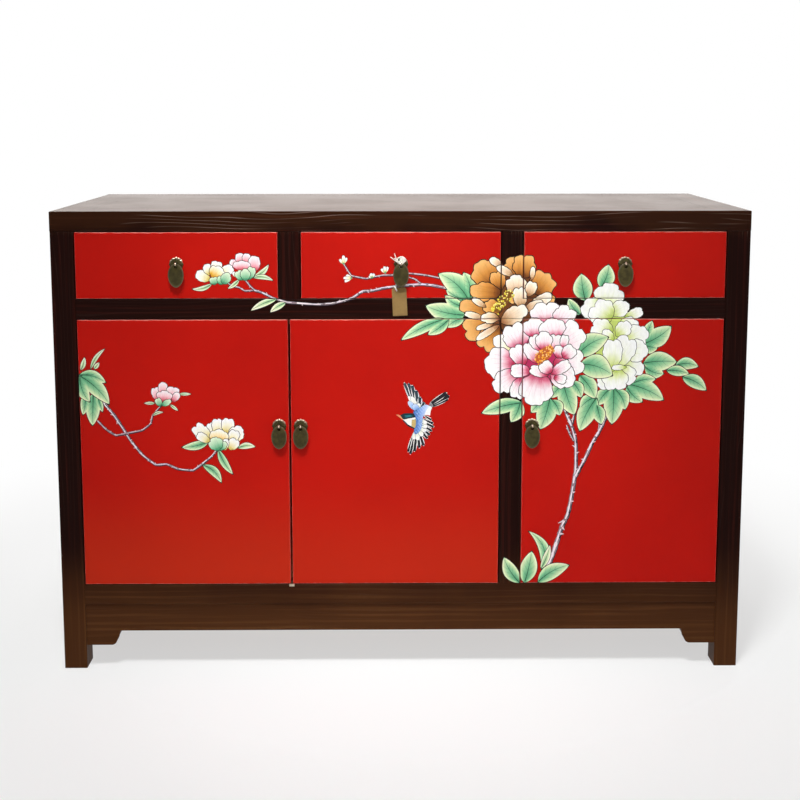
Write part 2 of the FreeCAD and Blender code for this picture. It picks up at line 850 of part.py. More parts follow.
def build():
    add_posts()
    add_front_members()
    add_side_and_back_rails()
    add_top_frame()
    add_aprons()
    add_top_panel()
    add_wall_panels()
    add_bottom_board()
    cut_joints()
    cut_pivots_and_catch()
    add_partition()
    add_shelves()
    add_runners()
    add_stops()
    nodes = {}
    nodes.update(frame)
    nodes.update(panels)
    nodes.update(inside)
    for node, (x, z) in pull_places.items():
        hole = pull_hole(x, z, leaf_thickness[node])
        if node in door_x:
            nodes[node] = make_door(node, hole)
        else:
            nodes.update(make_drawer(node, hole))
        nodes.update(make_pull(node))
    nodes["tag"] = [make_tag()]
    nodes["tag_string"] = [make_string()]
    return nodes


def export(nodes):
    os.makedirs("parts", exist_ok=True)
    for node, solids in nodes.items():
        shape = solids[0] if len(solids) == 1 else Part.makeCompound(solids)
        if not shape.isValid():
            raise RuntimeError(node + " is not a valid shape")
        shape.exportStep("parts/" + node + ".step")
    print("%d nodes" % len(nodes))


export(build())
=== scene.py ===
"""The finished look of a side cabinet: a dark elm frame, red lacquered fronts, aged bronze drop pulls,
a bare card tag on a string, and a painted spray of peonies, twigs and a small bird.
Metres, +Z up, -Y to the front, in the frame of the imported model."""
import bmesh
import bpy
import math
import numpy as np
from mathutils import Matrix, Vector, geometry


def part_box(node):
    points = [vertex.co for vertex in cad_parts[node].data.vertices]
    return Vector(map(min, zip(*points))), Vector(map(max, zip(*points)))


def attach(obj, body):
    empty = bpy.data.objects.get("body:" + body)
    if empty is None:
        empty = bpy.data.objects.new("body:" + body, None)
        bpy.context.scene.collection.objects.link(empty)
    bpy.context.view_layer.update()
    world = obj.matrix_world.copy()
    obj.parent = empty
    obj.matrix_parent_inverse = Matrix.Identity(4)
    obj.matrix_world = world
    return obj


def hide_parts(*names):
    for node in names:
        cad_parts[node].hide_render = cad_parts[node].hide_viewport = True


bl_info = {
    "name": "Side cabinet finish",
    "version": (1, 0, 0),
    "blender": (4, 5, 0),
    "location": "View3D > Sidebar > Cabinet",
    "description": "Finishes, pulls, tag and painted ornament of a side cabinet",
    "category": "Object",
}

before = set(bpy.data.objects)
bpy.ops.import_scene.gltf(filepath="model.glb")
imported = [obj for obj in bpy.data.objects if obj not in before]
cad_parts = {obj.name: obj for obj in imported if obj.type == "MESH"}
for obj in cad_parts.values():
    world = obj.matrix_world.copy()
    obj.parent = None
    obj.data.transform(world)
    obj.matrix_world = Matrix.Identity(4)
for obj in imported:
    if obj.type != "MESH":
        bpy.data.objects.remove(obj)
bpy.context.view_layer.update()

MM = 0.001
TURN = 2 * math.pi

# The bodies that carry a pull each, and their lacquered fronts
DRAWERS = ("drawer_left", "drawer_middle", "drawer_right")
DOORS = ("door_left", "door_middle", "door_right")
PULLS = DRAWERS + DOORS
LACQUERED = tuple(drawer + "_front" for drawer in DRAWERS) + DOORS
front_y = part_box("door_left")[0].y


def srgb(red, green, blue):
    """A colour given as it looks, 0 to 255, in the linear values that the shaders use."""
    shares = [value / 255 for value in (red, green, blue)]
    return tuple(s / 12.92 if s <= 0.04045 else ((s + 0.055) / 1.055) ** 2.4 for s in shares)


# Settings that a user would change

def colour_property(label, note, value):
    return bpy.props.FloatVectorProperty(
        name=label, description=note, subtype="COLOR", size=3, min=0, max=1, default=srgb(*value)
    )


def length_property(label, note, value):
    return bpy.props.FloatProperty(
        name=label, description=note, subtype="DISTANCE", unit="LENGTH", min=0, default=value
    )


def power_property(label, note, value):
    return bpy.props.FloatProperty(name=label, description=note, unit="POWER", min=0, default=value)


class FinishSettings(bpy.types.PropertyGroup):
    """Colours of the woods, the lacquer and the metals."""

    elm_dark: colour_property("Dark elm", "Stained elm between the grain lines", (25, 5, 2))
    elm_brown: colour_property("Brown elm", "Open grain of the stained elm", (46, 13, 7))
    limed: colour_property("Limed grain", "Fine pale lines, mostly in the top rail", (134, 110, 100))
    # Elm low down: stain wear, and paler as painted light
    worn_lit_elm_dark: colour_property("Worn elm shade", "Elm low down, where the stain is worn", (71, 40, 18))
    worn_lit_elm_brown: colour_property("Worn elm", "Open grain of the elm low down", (87, 54, 27))
    inner_dark: colour_property("Inner wood shade", "Grain of the plain wood inside", (126, 84, 50))
    inner_light: colour_property("Inner wood", "Plain wood inside the cabinet", (176, 130, 84))
    lacquer: colour_property("Lacquer", "Red lacquer of the doors and drawer fronts", (187, 20, 9))
    lacquer_deep: colour_property("Deep lacquer", "Darker clouds in the lacquer", (165, 14, 7))
    # Lacquer more orange low on the left and middle doors
    lacquer_orange_low: colour_property("Faded lacquer", "Orange cast low on the pair of doors", (184, 42, 18))
    # Pale line along the fronts' edges: lacquer wear and painted highlight
    lacquer_rubbed_lit: colour_property("Rubbed lacquer", "Pale line along rubbed edges", (226, 132, 120))
    bronze: colour_property("Bronze", "Aged bronze of the pulls", (72, 64, 31))
    bronze_dark: colour_property("Bronze patina", "Dark patina in the hollows", (30, 27, 13))
    # Pale metal for wear and for the painted highlight on the roses' upper rims and rings
    bronze_rubbed_lit: colour_property("Rubbed bronze", "Metal where fingers rub it", (226, 200, 176))
    steel: colour_property("Steel", "The doors' pivot pins", (170, 168, 165))
    brass: colour_property("Pale brass", "The small plate on the bottom rail", (206, 194, 170))
    card: colour_property("Card", "Tan card of the tag", (144, 116, 71))
    cotton: colour_property("Cotton", "White cotton string", (236, 232, 222))
    # Width of that pale line of wear and painted highlight
    rubbed_lit_width: length_property("Rubbed width", "Width of the line along rubbed edges", 1.3 * MM)


class OrnamentSettings(bpy.types.PropertyGroup):
    """How the painted ornament lies on the fronts."""

    lift: length_property("Paint lift", "Height of the paint over the lacquer", 0.05 * MM)
    round_over: length_property("Edge rounding", "Radius of the eased edges that the paint follows", 1.5 * MM)
    edge_gap: length_property("Bare edge", "Bare strip at the very edge of a front", 0.15 * MM)


class PullSettings(bpy.types.PropertyGroup):
    """Sizes of the drop pulls."""

    lobes: bpy.props.IntProperty(name="Lobes", description="Lobes round each rose", min=3, default=12)
    dome: length_property("Dome", "How far the oval plate is domed", 0.7 * MM)
    wire: length_property("Wire", "Thickness of the ring's wire", 1.4 * MM)


class StageSettings(bpy.types.PropertyGroup):
    """Floor, lamps and sky."""

    floor: colour_property("Floor", "Pale floor", (242, 243, 243))
    key: power_property("Key lamp", "Power of the key lamp", 6.0)
    fill: power_property("Fill lamp", "Power of the fill lamp", 13.0)
    top: power_property("Top lamp", "Power of the top lamp", 10.0)
    rear: power_property("Rear lamp", "Power of the rear lamp", 72.0)
    sky: bpy.props.FloatProperty(name="Sky", description="Strength of the even light all round", default=0.28)


# Shader helpers

def add(tree, kind, inputs=None, **settings):
    """A new node with its inputs set or linked. Returns its outputs."""
    node = tree.nodes.new("ShaderNode" + kind)
    for name, value in settings.items():
        setattr(node, name, value)
    for socket, value in (inputs or {}).items():
        if isinstance(value, bpy.types.NodeSocket):
            tree.links.new(value, node.inputs[socket])
        else:
            node.inputs[socket].default_value = value
    return node.outputs


def calc(tree, operation, first, second=0.0, clamp=False):
    return add(tree, "Math", {0: first, 1: second}, operation=operation, use_clamp=clamp)[0]


def smooth(tree, value, low, high, start=0.0, end=1.0):
    sockets = {"Value": value, "From Min": low, "From Max": high, "To Min": start, "To Max": end}
    return add(tree, "MapRange", sockets, interpolation_type="SMOOTHSTEP")[0]


def blend(tree, share, first, second, way="MIX"):
    return add(tree, "Mix", {0: share, 6: first, 7: second}, data_type="RGBA", blend_type=way)[2]


def noise(tree, vector, scale, detail=3.0, roughness=0.55, distortion=0.0):
    return add(tree, "TexNoise", {
        "Vector": vector, "Scale": scale, "Detail": detail, "Roughness": roughness, "Distortion": distortion,
    })[0]


def waves(tree, vector, scale, distortion, detail, detail_scale):
    """Bands across Z, bent by noise."""
    return add(tree, "TexWave", {
        "Vector": vector, "Scale": scale, "Distortion": distortion, "Detail": detail,
        "Detail Scale": detail_scale,
    }, bands_direction="Z")[1]


def stretched(tree, vector, scale, rotation=(0, 0, 0)):
    return add(tree, "Mapping", {"Vector": vector, "Scale": scale, "Rotation": rotation})[0]


def full(colour, share=1.0):
    """A colour with its alpha, darkened to a share of itself."""
    return (*(part * share for part in colour), 1.0)


# Effects that materials share, each a node group

def new_group(name, inputs, outputs):
    """A shader node group with named inputs and outputs."""
    group = bpy.data.node_groups.new(name, "ShaderNodeTree")
    for label, kind, default in inputs:
        socket = group.interface.new_socket(label, in_out="INPUT", socket_type="NodeSocket" + kind)
        socket.default_value = default
    for label, kind in outputs:
        group.interface.new_socket(label, in_out="OUTPUT", socket_type="NodeSocket" + kind)
    source = group.nodes.new("NodeGroupInput").outputs
    target = group.nodes.new("NodeGroupOutput").inputs
    return group, source, target


# Turn of the wood's figure about the grain, so that no face shows straight bands
FIGURE_TURN = (math.radians(28), 0, 0)


def grain_group():
    """Wood grain along X: broad figure, fine fibres, short dark pores and pale lines."""
    inputs = [
        ("Vector", "Vector", (0, 0, 0)), ("Dark", "Color", (0, 0, 0, 1)), ("Light", "Color", (1, 1, 1, 1)),
        ("Openness", "Float", 0.5), ("Pore", "Float", 0.5), ("Line", "Float", 0.0),
        ("Line Color", "Color", (1, 1, 1, 1)),
    ]
    group, source, target = new_group("wood grain", inputs, [("Color", "Color"), ("Height", "Float")])
    place = source["Vector"]
    figure = noise(group, stretched(group, place, (1.1, 26, 26), FIGURE_TURN), 2.2, 4.0, 0.6, 1.1)
    bands = waves(group, stretched(group, place, (0.55, 9, 9), FIGURE_TURN), 3.4, 5.5, 2.0, 1.4)
    fibre = noise(group, stretched(group, place, (7, 420, 420)), 1.0, 3.0, 0.6)
    pores = smooth(group, noise(group, stretched(group, place, (55, 1500, 1500)), 1.0, 1.0), 0.60, 0.70)
    broad = calc(group, "MULTIPLY", calc(group, "ADD", smooth(group, figure, 0.3, 0.72), bands), 0.5)
    grain = calc(group, "ADD", calc(group, "MULTIPLY", broad, 0.75), calc(group, "MULTIPLY", fibre, 0.5))
    low = calc(group, "SUBTRACT", 1.0, source["Openness"])
    share = smooth(group, grain, low, calc(group, "ADD", low, 0.5))
    colour = blend(group, share, source["Dark"], source["Light"])
    darker = blend(group, 0.65, colour, source["Dark"])
    toned = blend(group, calc(group, "MULTIPLY", pores, source["Pore"]), colour, darker)
    arches = waves(group, stretched(group, place, (1.3, 9, 9), FIGURE_TURN), 2.6, 9.0, 1.5, 0.9)
    off_line = calc(group, "ABSOLUTE", calc(group, "SUBTRACT", arches, 0.5))
    patches = smooth(group, noise(group, stretched(group, place, (6, 40, 40)), 1.0, 2.0), 0.42, 0.6)
    line = calc(group, "MULTIPLY", smooth(group, off_line, 0.16, 0.04), patches)
    line_share = calc(group, "MULTIPLY", line, source["Line"], clamp=True)
    group.links.new(blend(group, line_share, toned, source["Line Color"]), target["Color"])
    height = calc(group, "SUBTRACT", calc(group, "MULTIPLY", fibre, 0.4), calc(group, "MULTIPLY", pores, 0.8))
    group.links.new(height, target["Height"])


def pale_edge_group():
    """How near a point of a front lies to its edges: 1 at the edge, 0 past the width, broken by noise, with
    the upright sides counting for the share given as Upright. It lays the pale line along the edges, partly
    lacquer wear and partly painted highlight.
    """
    inputs = [
        ("Vector", "Vector", (0, 0, 0)), ("Low", "Vector", (0, 0, 0)), ("High", "Vector", (1, 1, 1)),
        ("Width", "Float", 0.001), ("Upright", "Float", 0.4),
    ]
    group, source, target = new_group("rubbed edge", inputs, [("Share", "Float")])
    from_low, from_high = (
        add(group, "VectorMath", {0: source[first], 1: source[second]}, operation="SUBTRACT")[0]
        for first, second in (("Vector", "Low"), ("High", "Vector"))
    )
    nearest = add(group, "VectorMath", {0: from_low, 1: from_high}, operation="MINIMUM")[0]
    split = add(group, "SeparateXYZ", {0: nearest})
    broken = noise(group, source["Vector"], 70.0, 3.0)
    reach = calc(group, "MULTIPLY", source["Width"], smooth(group, broken, 0.3, 0.7, 0.5, 1.5))
    solid = calc(group, "MULTIPLY", reach, 0.3)
    across, upright = (
        calc(group, "SUBTRACT", 1.0, smooth(group, split[axis], solid, reach)) for axis in ("Z", "X")
    )
    share = calc(group, "MAXIMUM", across, calc(group, "MULTIPLY", upright, source["Upright"]))
    group.links.new(share, target["Share"])


def cloud_group():
    """Soft clouds of a second colour, with a finer speckle in them."""
    inputs = [
        ("Vector", "Vector", (0, 0, 0)), ("Base", "Color", (1, 1, 1, 1)), ("Cloud", "Color", (0, 0, 0, 1)),
        ("Scale", "Float", 5.0), ("Amount", "Float", 0.5), ("Speckle", "Float", 0.2),
    ]
    group, source, target = new_group("clouds", inputs, [("Color", "Color"), ("Share", "Float")])
    broad = smooth(group, noise(group, source["Vector"], source["Scale"], 3.0), 0.3, 0.7)
    fine = noise(group, source["Vector"], calc(group, "MULTIPLY", source["Scale"], 24.0), 2.0)
    speck = calc(group, "MULTIPLY", calc(group, "SUBTRACT", fine, 0.5), source["Speckle"])
    share = calc(group, "ADD", calc(group, "MULTIPLY", broad, source["Amount"]), speck, clamp=True)
    group.links.new(blend(group, share, source["Base"], source["Cloud"]), target["Color"])
    group.links.new(share, target["Share"])


def shared(tree, group, inputs):
    """One of the shared effects in a material. Returns its outputs."""
    return add(tree, "Group", inputs, node_tree=bpy.data.node_groups[group])


def clouded(tree, place, base, cloud, scale, amount, speckle):
    return shared(tree, "clouds", {
        "Vector": place, "Base": base, "Cloud": cloud, "Scale": scale, "Amount": amount, "Speckle": speckle,
    })


# Turns that bring each way of the grain onto X
GRAIN_TURNS = {"x": (0, 0, 0), "y": (0, 0, math.radians(90)), "z": (0, math.radians(90), 0)}


def grained(tree, place, way, inputs):
    """Wood with its grain along one way."""
    along = stretched(tree, place, (1, 1, 1), GRAIN_TURNS[way])
    return shared(tree, "wood grain", {"Vector": along, **inputs})


def bare_wood(tree, place, way, finish):
    return grained(tree, place, way, {
        "Dark": full(finish.inner_dark), "Light": full(finish.inner_light), "Openness": 0.72, "Pore": 0.5,
    })


# Materials

def new_material(name, values):
    """A material with constants on its shader: its tree, the shader's inputs and Object coordinates."""
    material = bpy.data.materials.new(name)
    material.use_nodes = True
    tree = material.node_tree
    tree.nodes.clear()
    shader = tree.nodes.new("ShaderNodeBsdfPrincipled")
    for socket, value in values.items():
        shader.inputs[socket].default_value = value
    output = tree.nodes.new("ShaderNodeOutputMaterial")
    tree.links.new(shader.outputs[0], output.inputs[0])
    return tree, shader.inputs, add(tree, "TexCoord")["Object"]


def dress(tree, shader, colour, roughness, height, strength, distance):
    """Link colour and roughness to the shader, and a bump made from a height."""
    bump = add(tree, "Bump", {"Height": height, "Strength": strength, "Distance": distance})["Normal"]
    for socket, value in (("Base Color", colour), ("Roughness", roughness), ("Normal", bump)):
        tree.links.new(value, shader[socket])


# Heights over which the elm turns paler and browner low down (partly stain wear, partly painted light), limed
# high up, and plain again on the top face
WORN_AND_LIT_HEIGHTS = (0.24, 0.06)
LIMED_HEIGHTS = (0.77, 0.80)
TOP_HEIGHTS = (0.8165, 0.8150)


def elm_material(name, way, finish):
    """Stained elm with a satin coat, limed in the top rail. Low down it is browner and paler, partly stain
    wear and partly painted light; high up it takes a little of the same tone.
    """
    tree, shader, place = new_material(name, {"Specular IOR Level": 0.05})
    height = add(tree, "SeparateXYZ", {0: place})["Z"]
    broken = calc(tree, "MULTIPLY", calc(tree, "SUBTRACT", noise(tree, place, 5.0), 0.5), 0.12)
    level = calc(tree, "ADD", height, broken)
    high_up = smooth(tree, level, *LIMED_HEIGHTS, 0.0, 0.30)
    on_rail = calc(tree, "MULTIPLY", high_up, smooth(tree, height, *TOP_HEIGHTS))
    # Painted light and stain wear: the elm turns paler and browner low down
    worn_and_lit = calc(tree, "MAXIMUM", smooth(tree, level, *WORN_AND_LIT_HEIGHTS), high_up)
    grain = grained(tree, place, way, {
        "Dark": blend(tree, worn_and_lit, full(finish.elm_dark), full(finish.worn_lit_elm_dark)),
        "Light": blend(tree, worn_and_lit, full(finish.elm_brown), full(finish.worn_lit_elm_brown)),
        "Openness": 0.42, "Pore": 0.8, "Line Color": full(finish.limed),
        "Line": calc(tree, "ADD", 0.03, calc(tree, "MULTIPLY", on_rail, 1.7)),
    })
    rough = smooth(tree, noise(tree, place, 9.0), 0.3, 0.7, 0.40, 0.44)
    dress(tree, shader, grain["Color"], rough, grain["Height"], 0.25, 0.3 * MM)


def inner_material(name, way, finish):
    """Plain unpolished wood inside the cabinet."""
    tree, shader, place = new_material(name, {})
    grain = bare_wood(tree, place, way, finish)
    rough = smooth(tree, grain["Height"], -0.3, 0.4, 0.7, 0.55)
    dress(tree, shader, grain["Color"], rough, grain["Height"], 0.3, 0.3 * MM)


# How orange the red of a door is at its lower edge, and the heights over that edge
ORANGE_LOW = {"door_left": 0.85, "door_middle": 0.7}
ORANGE_LOW_HEIGHTS = (0.22, 0.02)
# The lacquer covers a front's face and edges to this depth, and the wood behind is bare
lacquer_depth = 19.7 * MM


def lacquer_material(name, node, finish):
    """Red lacquer on the front and edges of one door or drawer front, with a pale line along its edges that
    is partly lacquer wear from rubbing and partly painted highlight.
    """
    tree, shader, place = new_material(name, {"Specular IOR Level": 0.08})
    low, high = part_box(node)
    split = add(tree, "SeparateXYZ", {0: place})
    red = clouded(tree, place, full(finish.lacquer), full(finish.lacquer_deep), 3.2, 0.55, 0.25)["Color"]
    # More orange towards the bottom of the left and middle doors
    start, end = (low.z + height for height in ORANGE_LOW_HEIGHTS)
    orange_low_share = smooth(tree, split["Z"], start, end, 0.0, ORANGE_LOW.get(node, 0.0))
    red = blend(tree, orange_low_share, red, full(finish.lacquer_orange_low))
    # Painted highlight and wear: a pale line along the edges, fainter on the upright sides
    worn_and_lit = shared(tree, "rubbed edge", {
        "Vector": place, "Low": low, "High": high, "Width": finish.rubbed_lit_width, "Upright": 0.35,
    })["Share"]
    red = blend(tree, calc(tree, "MULTIPLY", worn_and_lit, 0.85), red, full(finish.lacquer_rubbed_lit))
    behind = calc(tree, "GREATER_THAN", split["Y"], front_y + lacquer_depth)
    colour = blend(tree, behind, red, bare_wood(tree, place, "z", finish)["Color"])
    sheen = smooth(tree, noise(tree, place, 14.0, 4.0), 0.3, 0.7, 0.34, 0.46)
    rough = calc(tree, "ADD", sheen, calc(tree, "MULTIPLY", behind, 0.25))
    ripple = noise(tree, stretched(tree, place, (30, 30, 9)), 1.0, 4.0)
    dress(tree, shader, colour, rough, ripple, 0.12, 0.6 * MM)


def bronze_material(finish):
    """Waxed bronze, dark with age, bright where the piece's own stored share says so: wear from rubbing, and
    on the roses a painted highlight along the upper rim and the ring's upper front.
    """
    tree, shader, place = new_material("aged_bronze", {
        "Metallic": 0.9, "Coat Weight": 0.15, "Coat Roughness": 0.2,
    })
    patina = clouded(tree, place, full(finish.bronze), full(finish.bronze_dark), 120.0, 0.5, 0.5)
    # Stored share of wear and painted highlight
    worn_and_lit = add(tree, "Attribute", attribute_name="rubbed")["Fac"]
    broken = smooth(tree, noise(tree, place, 500.0, 3.0), 0.25, 0.6, 0.55, 1.0)
    rubbed = calc(tree, "MULTIPLY", worn_and_lit, broken, clamp=True)
    colour = blend(tree, rubbed, patina["Color"], full(finish.bronze_rubbed_lit))
    rough = smooth(tree, patina["Share"], 0.0, 0.8, 0.30, 0.46)
    polished = calc(tree, "MULTIPLY", smooth(tree, worn_and_lit, 0.7, 1.0), 0.16)
    rough = calc(tree, "SUBTRACT", rough, polished)
    dress(tree, shader, colour, rough, noise(tree, place, 900.0, 3.0), 0.25, 0.1 * MM)


def metal_material(name, colour):
    """A plain metal part with fine brushed scratches."""
    tree, shader, place = new_material(name, {"Metallic": 1.0})
    tone = clouded(tree, place, full(colour), full(colour, 0.55), 150.0, 0.35, 0.3)["Color"]
    scratches = noise(tree, stretched(tree, place, (3000, 200, 200)), 1.0, 2.0)
    rough = smooth(tree, scratches, 0.3, 0.7, 0.25, 0.42)
    dress(tree, shader, tone, rough, scratches, 0.15, 0.05 * MM)


def card_material(finish):
    """Thick tan card with fibres in it."""
    tree, shader, place = new_material("tag_card", {"Specular IOR Level": 0.15})
    tone = clouded(tree, place, full(finish.card), full(finish.card, 0.6), 90.0, 0.35, 0.6)["Color"]
    fibres = noise(tree, stretched(tree, place, (500, 500, 1600)), 1.0, 2.0, 0.6, 1.5)
    fibres = smooth(tree, fibres, 0.62, 0.7)
    flecked = blend(tree, calc(tree, "MULTIPLY", fibres, 0.5), tone, full(finish.card, 0.35))
    rough = smooth(tree, fibres, 0.0, 1.0, 0.85, 0.7)
    dress(tree, shader, flecked, rough, noise(tree, place, 700.0, 4.0), 0.5, 0.15 * MM)


def cotton_material(finish):
    """Twisted cotton string."""
    tree, shader, place = new_material("cotton", {})
    tone = clouded(tree, place, full(finish.cotton), full(finish.cotton, 0.72), 260.0, 0.5, 0.5)
    rough = smooth(tree, tone["Share"], 0.0, 1.0, 0.8, 0.95)
    sockets = {"Vector": place, "Scale": 420.0, "Distortion": 1.5}
    twist = add(tree, "TexWave", sockets, bands_direction="DIAGONAL")[1]
    dress(tree, shader, tone["Color"], rough, twist, 0.6, 0.25 * MM)


def paint_material():
    """Body colour laid on by brush: its colour is stored on the paint film itself."""
    tree, shader, place = new_material("ornament_paint", {"Specular IOR Level": 0.2})
    pigment = add(tree, "Attribute", attribute_name="pigment")["Color"]
    brushed = noise(tree, stretched(tree, place, (260, 260, 90)), 1.0, 3.0)
    thin = smooth(tree, brushed, 0.25, 0.75, 0.94, 1.04)
    strength = add(tree, "CombineColor", {0: thin, 1: thin, 2: thin})[0]
    colour = blend(tree, 1.0, pigment, strength, "MULTIPLY")
    dress(tree, shader, colour, smooth(tree, brushed, 0.3, 0.7, 0.38, 0.5), brushed, 0.1, 0.1 * MM)


# Which way the grain of each carried-over node runs
ELM_NODES = {
    "x": (
        "top_rail_front", "top_rail_back", "top_panel", "mid_rail_front", "bottom_rail_front",
        "back_rails", "apron_front", "back_panels",
    ),
    "y": ("top_rail_left", "top_rail_right", "side_rails", "apron_left", "apron_right", "side_panels"),
    "z": (
        "post_front_left", "post_front_right", "post_back_left", "post_back_right", "drawer_dividers",
        "mullion",
    ),
}
INNER_NODES = {
    "x": (
        "bottom_board", "shelf_wide", "shelf_narrow", "door_stops",
        *(drawer + part for part in ("_back", "_bottom") for drawer in DRAWERS),
    ),
    "y": (
        "top_battens", "shelf_cleats", "drawer_runners", "drawer_guides",
        *(drawer + "_sides" for drawer in DRAWERS),
    ),
    "z": ("partition",),
}


def put_on(node, material):
    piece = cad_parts[node]
    piece.data.materials.clear()
    piece.data.materials.append(bpy.data.materials[material])


class CABINET_OT_finishes(bpy.types.Operator):
    """Give every carried-over part its wood, lacquer or metal"""

    bl_idname = "cabinet.finishes"
    bl_label = "Apply the finishes"

    def execute(self, context):
        finish = context.scene.cabinet_finish
        grain_group()
        pale_edge_group()
        cloud_group()
        woods = (("elm_", elm_material, ELM_NODES), ("plain_wood_", inner_material, INNER_NODES))
        for prefix, make, ways in woods:
            for way, nodes in ways.items():
                make(prefix + way, way, finish)
                for node in nodes:
                    put_on(node, prefix + way)
        for node in LACQUERED:
            lacquer_material("lacquer_" + node, node, finish)
            put_on(node, "lacquer_" + node)
        metal_material("pin_steel", finish.steel)
        put_on("pivot_pins", "pin_steel")
        metal_material("plate_brass", finish.brass)
        put_on("catch_plate", "plate_brass")
        bronze_material(finish)
        card_material(finish)
        cotton_material(finish)
        paint_material()
        return {"FINISHED"}


# Pieces made in mesh code

def new_object(name, data):
    """A new object in the scene, for a mesh, a curve, a lamp or a camera."""
    made = bpy.data.objects.new(name, data)
    bpy.context.scene.collection.objects.link(made)
    return made


def new_piece(name, bm, material, body, smooth_faces=True):
    """Turn a bmesh into a piece that rides on a body."""
    bmesh.ops.recalc_face_normals(bm, faces=bm.faces)
    mesh = bpy.data.meshes.new(name)
    bm.to_mesh(mesh)
    bm.free()
    mesh.materials.append(bpy.data.materials[material])
    piece = new_object(name, mesh)
    if smooth_faces:
        mesh.shade_smooth()
    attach(piece, body)
    return piece


def soften(bm, edges, offset, segments=2):
    bmesh.ops.bevel(
        bm, geom=edges, offset=offset, segments=segments, profile=0.5, affect="EDGES", material=-1
    )


def edges_at(verts):
    return list({edge for vert in verts for edge in vert.link_edges})


def only(parts, kind):
    return [part for part in parts if isinstance(part, kind)]


def bar(bm, centre, size, rounding):
    """A straight bar with rounded edges."""
    made = bmesh.ops.create_cube(bm, size=1.0)["verts"]
    bmesh.ops.scale(bm, vec=size, verts=made)
    bmesh.ops.translate(bm, vec=centre, verts=made)
    soften(bm, edges_at(made), rounding)


def thicken(bm, depth, rounding, segments=2):
    """Give a sheet a thickness along Y, and ease its rims."""
    back = bmesh.ops.extrude_face_region(bm, geom=bm.faces[:])["geom"]
    bmesh.ops.translate(bm, vec=(0, depth, 0), verts=only(back, bmesh.types.BMVert))
    bmesh.ops.recalc_face_normals(bm, faces=bm.faces)
    sharp = math.radians(50)
    rims = [edge for edge in bm.edges if edge.is_manifold and edge.calc_face_angle(0) > sharp]
    soften(bm, rims, rounding, segments)


# Rose: rise and width as shares of its height and radius, from the wood to the crown
ROSE_SHARES = [
    (0, 1), (0.22, 1.0), (0.36, 0.97), (0.55, 0.88), (0.74, 0.76), (0.88, 0.62), (0.97, 0.47), (1, 0.34),
]
rose_height = 3.0 * MM
rose_peak = 12.5 * MM
rose_valley = 11.3 * MM
rose_hollow = 0.25 * MM
ring_outer = 4.0 * MM
ring_width = 2.8 * MM
shank_side = 2.2 * MM
staple_rounding = 0.3 * MM
leg_length = 18.0 * MM
leaf_thickness = 20.0 * MM
plate_half_width = 13.5 * MM
plate_thickness = 1.2 * MM
plate_hole = 2.9 * MM
plate_play = 0.1 * MM
plate_rounding = 0.35 * MM


def pull_centre(name):
    """Middle of the ring of a pull, from the frame's own ring."""
    low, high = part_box("pull_" + name)
    return Vector(((low.x + high.x) / 2, low.y + ring_outer, (low.z + high.z) / 2))


def rose_mesh(bm, centre, lobes):
    """The lobed rose behind the ring, as rings of vertices from the wood to the crown."""
    ring = bmesh.ops.create_circle(bm, cap_ends=False, segments=lobes * 8, radius=1.0)["verts"]
    edges = edges_at(ring)
    for level, (rise, share) in enumerate(ROSE_SHARES):
        if level:
            made = bmesh.ops.extrude_edge_only(bm, edges=edges)["geom"]
            ring, edges = only(made, bmesh.types.BMVert), only(made, bmesh.types.BMEdge)
        for vert in ring:
            if level:
                angle = math.atan2(vert.co.x - centre.x, vert.co.z - centre.z)
            else:
                angle = math.atan2(vert.co.x, vert.co.y)
            fluted = abs(math.cos(lobes * angle / 2)) ** 0.7
            radius = (rose_valley + (rose_peak - rose_valley) * fluted) * share
            hollow = rose_hollow * (1 - fluted) * (1 if 0 < rise < 1 else 0)
            out = front_y - rose_height * rise + hollow
            vert.co = Vector((centre.x + radius * math.sin(angle), out, centre.z + radius * math.cos(angle)))
    bmesh.ops.contextual_create(bm, geom=edges)


def ring_mesh(bm, centre, wire):
    """The ring of a staple: the wire's section spun about X."""
    section = bmesh.ops.create_circle(bm, cap_ends=False, segments=20, radius=1.0)["verts"]
    for vert in section:
        across, out = vert.co.x, vert.co.y
        vert.co = centre + Vector((across * ring_width / 2, 0, ring_outer - wire / 2 + out * wire / 2))
    parts = section + edges_at(section)
    bmesh.ops.spin(bm, geom=parts, cent=centre, axis=(1, 0, 0), angle=TURN, steps=56, use_merge=True)


def plate_mesh(bm, centre, low_z, high_z, dome):
    """A domed oval plate with a hole near its top, hung on the ring."""
    widest = low_z + (high_z - low_z) * 0.525
    hole_z = centre.z - ring_outer - plate_play
    loops = []
    for radius in (1.0, plate_hole):
        verts = bmesh.ops.create_circle(bm, cap_ends=False, segments=96, radius=radius)["verts"]
        for vert in verts:
            if radius == 1.0:
                reach = high_z - widest if vert.co.y > 0 else widest - low_z
                narrowed = plate_half_width * (1 - 0.10 * min(0.0, vert.co.y) ** 4)
                vert.co = Vector((centre.x + narrowed * vert.co.x, centre.y, widest + reach * vert.co.y))
            else:
                vert.co = Vector((centre.x + vert.co.x, centre.y, hole_z + vert.co.y))
        loops.append(set(verts))
    bmesh.ops.bridge_loops(bm, edges=bm.edges[:])
    radial = [edge for edge in bm.edges if all(len(loop & set(edge.verts)) == 1 for loop in loops)]
    bmesh.ops.subdivide_edges(bm, edges=radial, cuts=7)
    for vert in bm.verts:
        reach = high_z - widest if vert.co.z > widest else widest - low_z
        share = math.hypot((vert.co.x - centre.x) / plate_half_width, (vert.co.z - widest) / reach)
        vert.co.y += plate_thickness / 2 - dome * max(0.0, 1 - share ** 2)
    thicken(bm, -plate_thickness, plate_rounding, 3)


def ramp(value, start, span):
    """0 up to a start, then rising to 1 over a span."""
    return min(1.0, max(0.0, (value - start) / span))


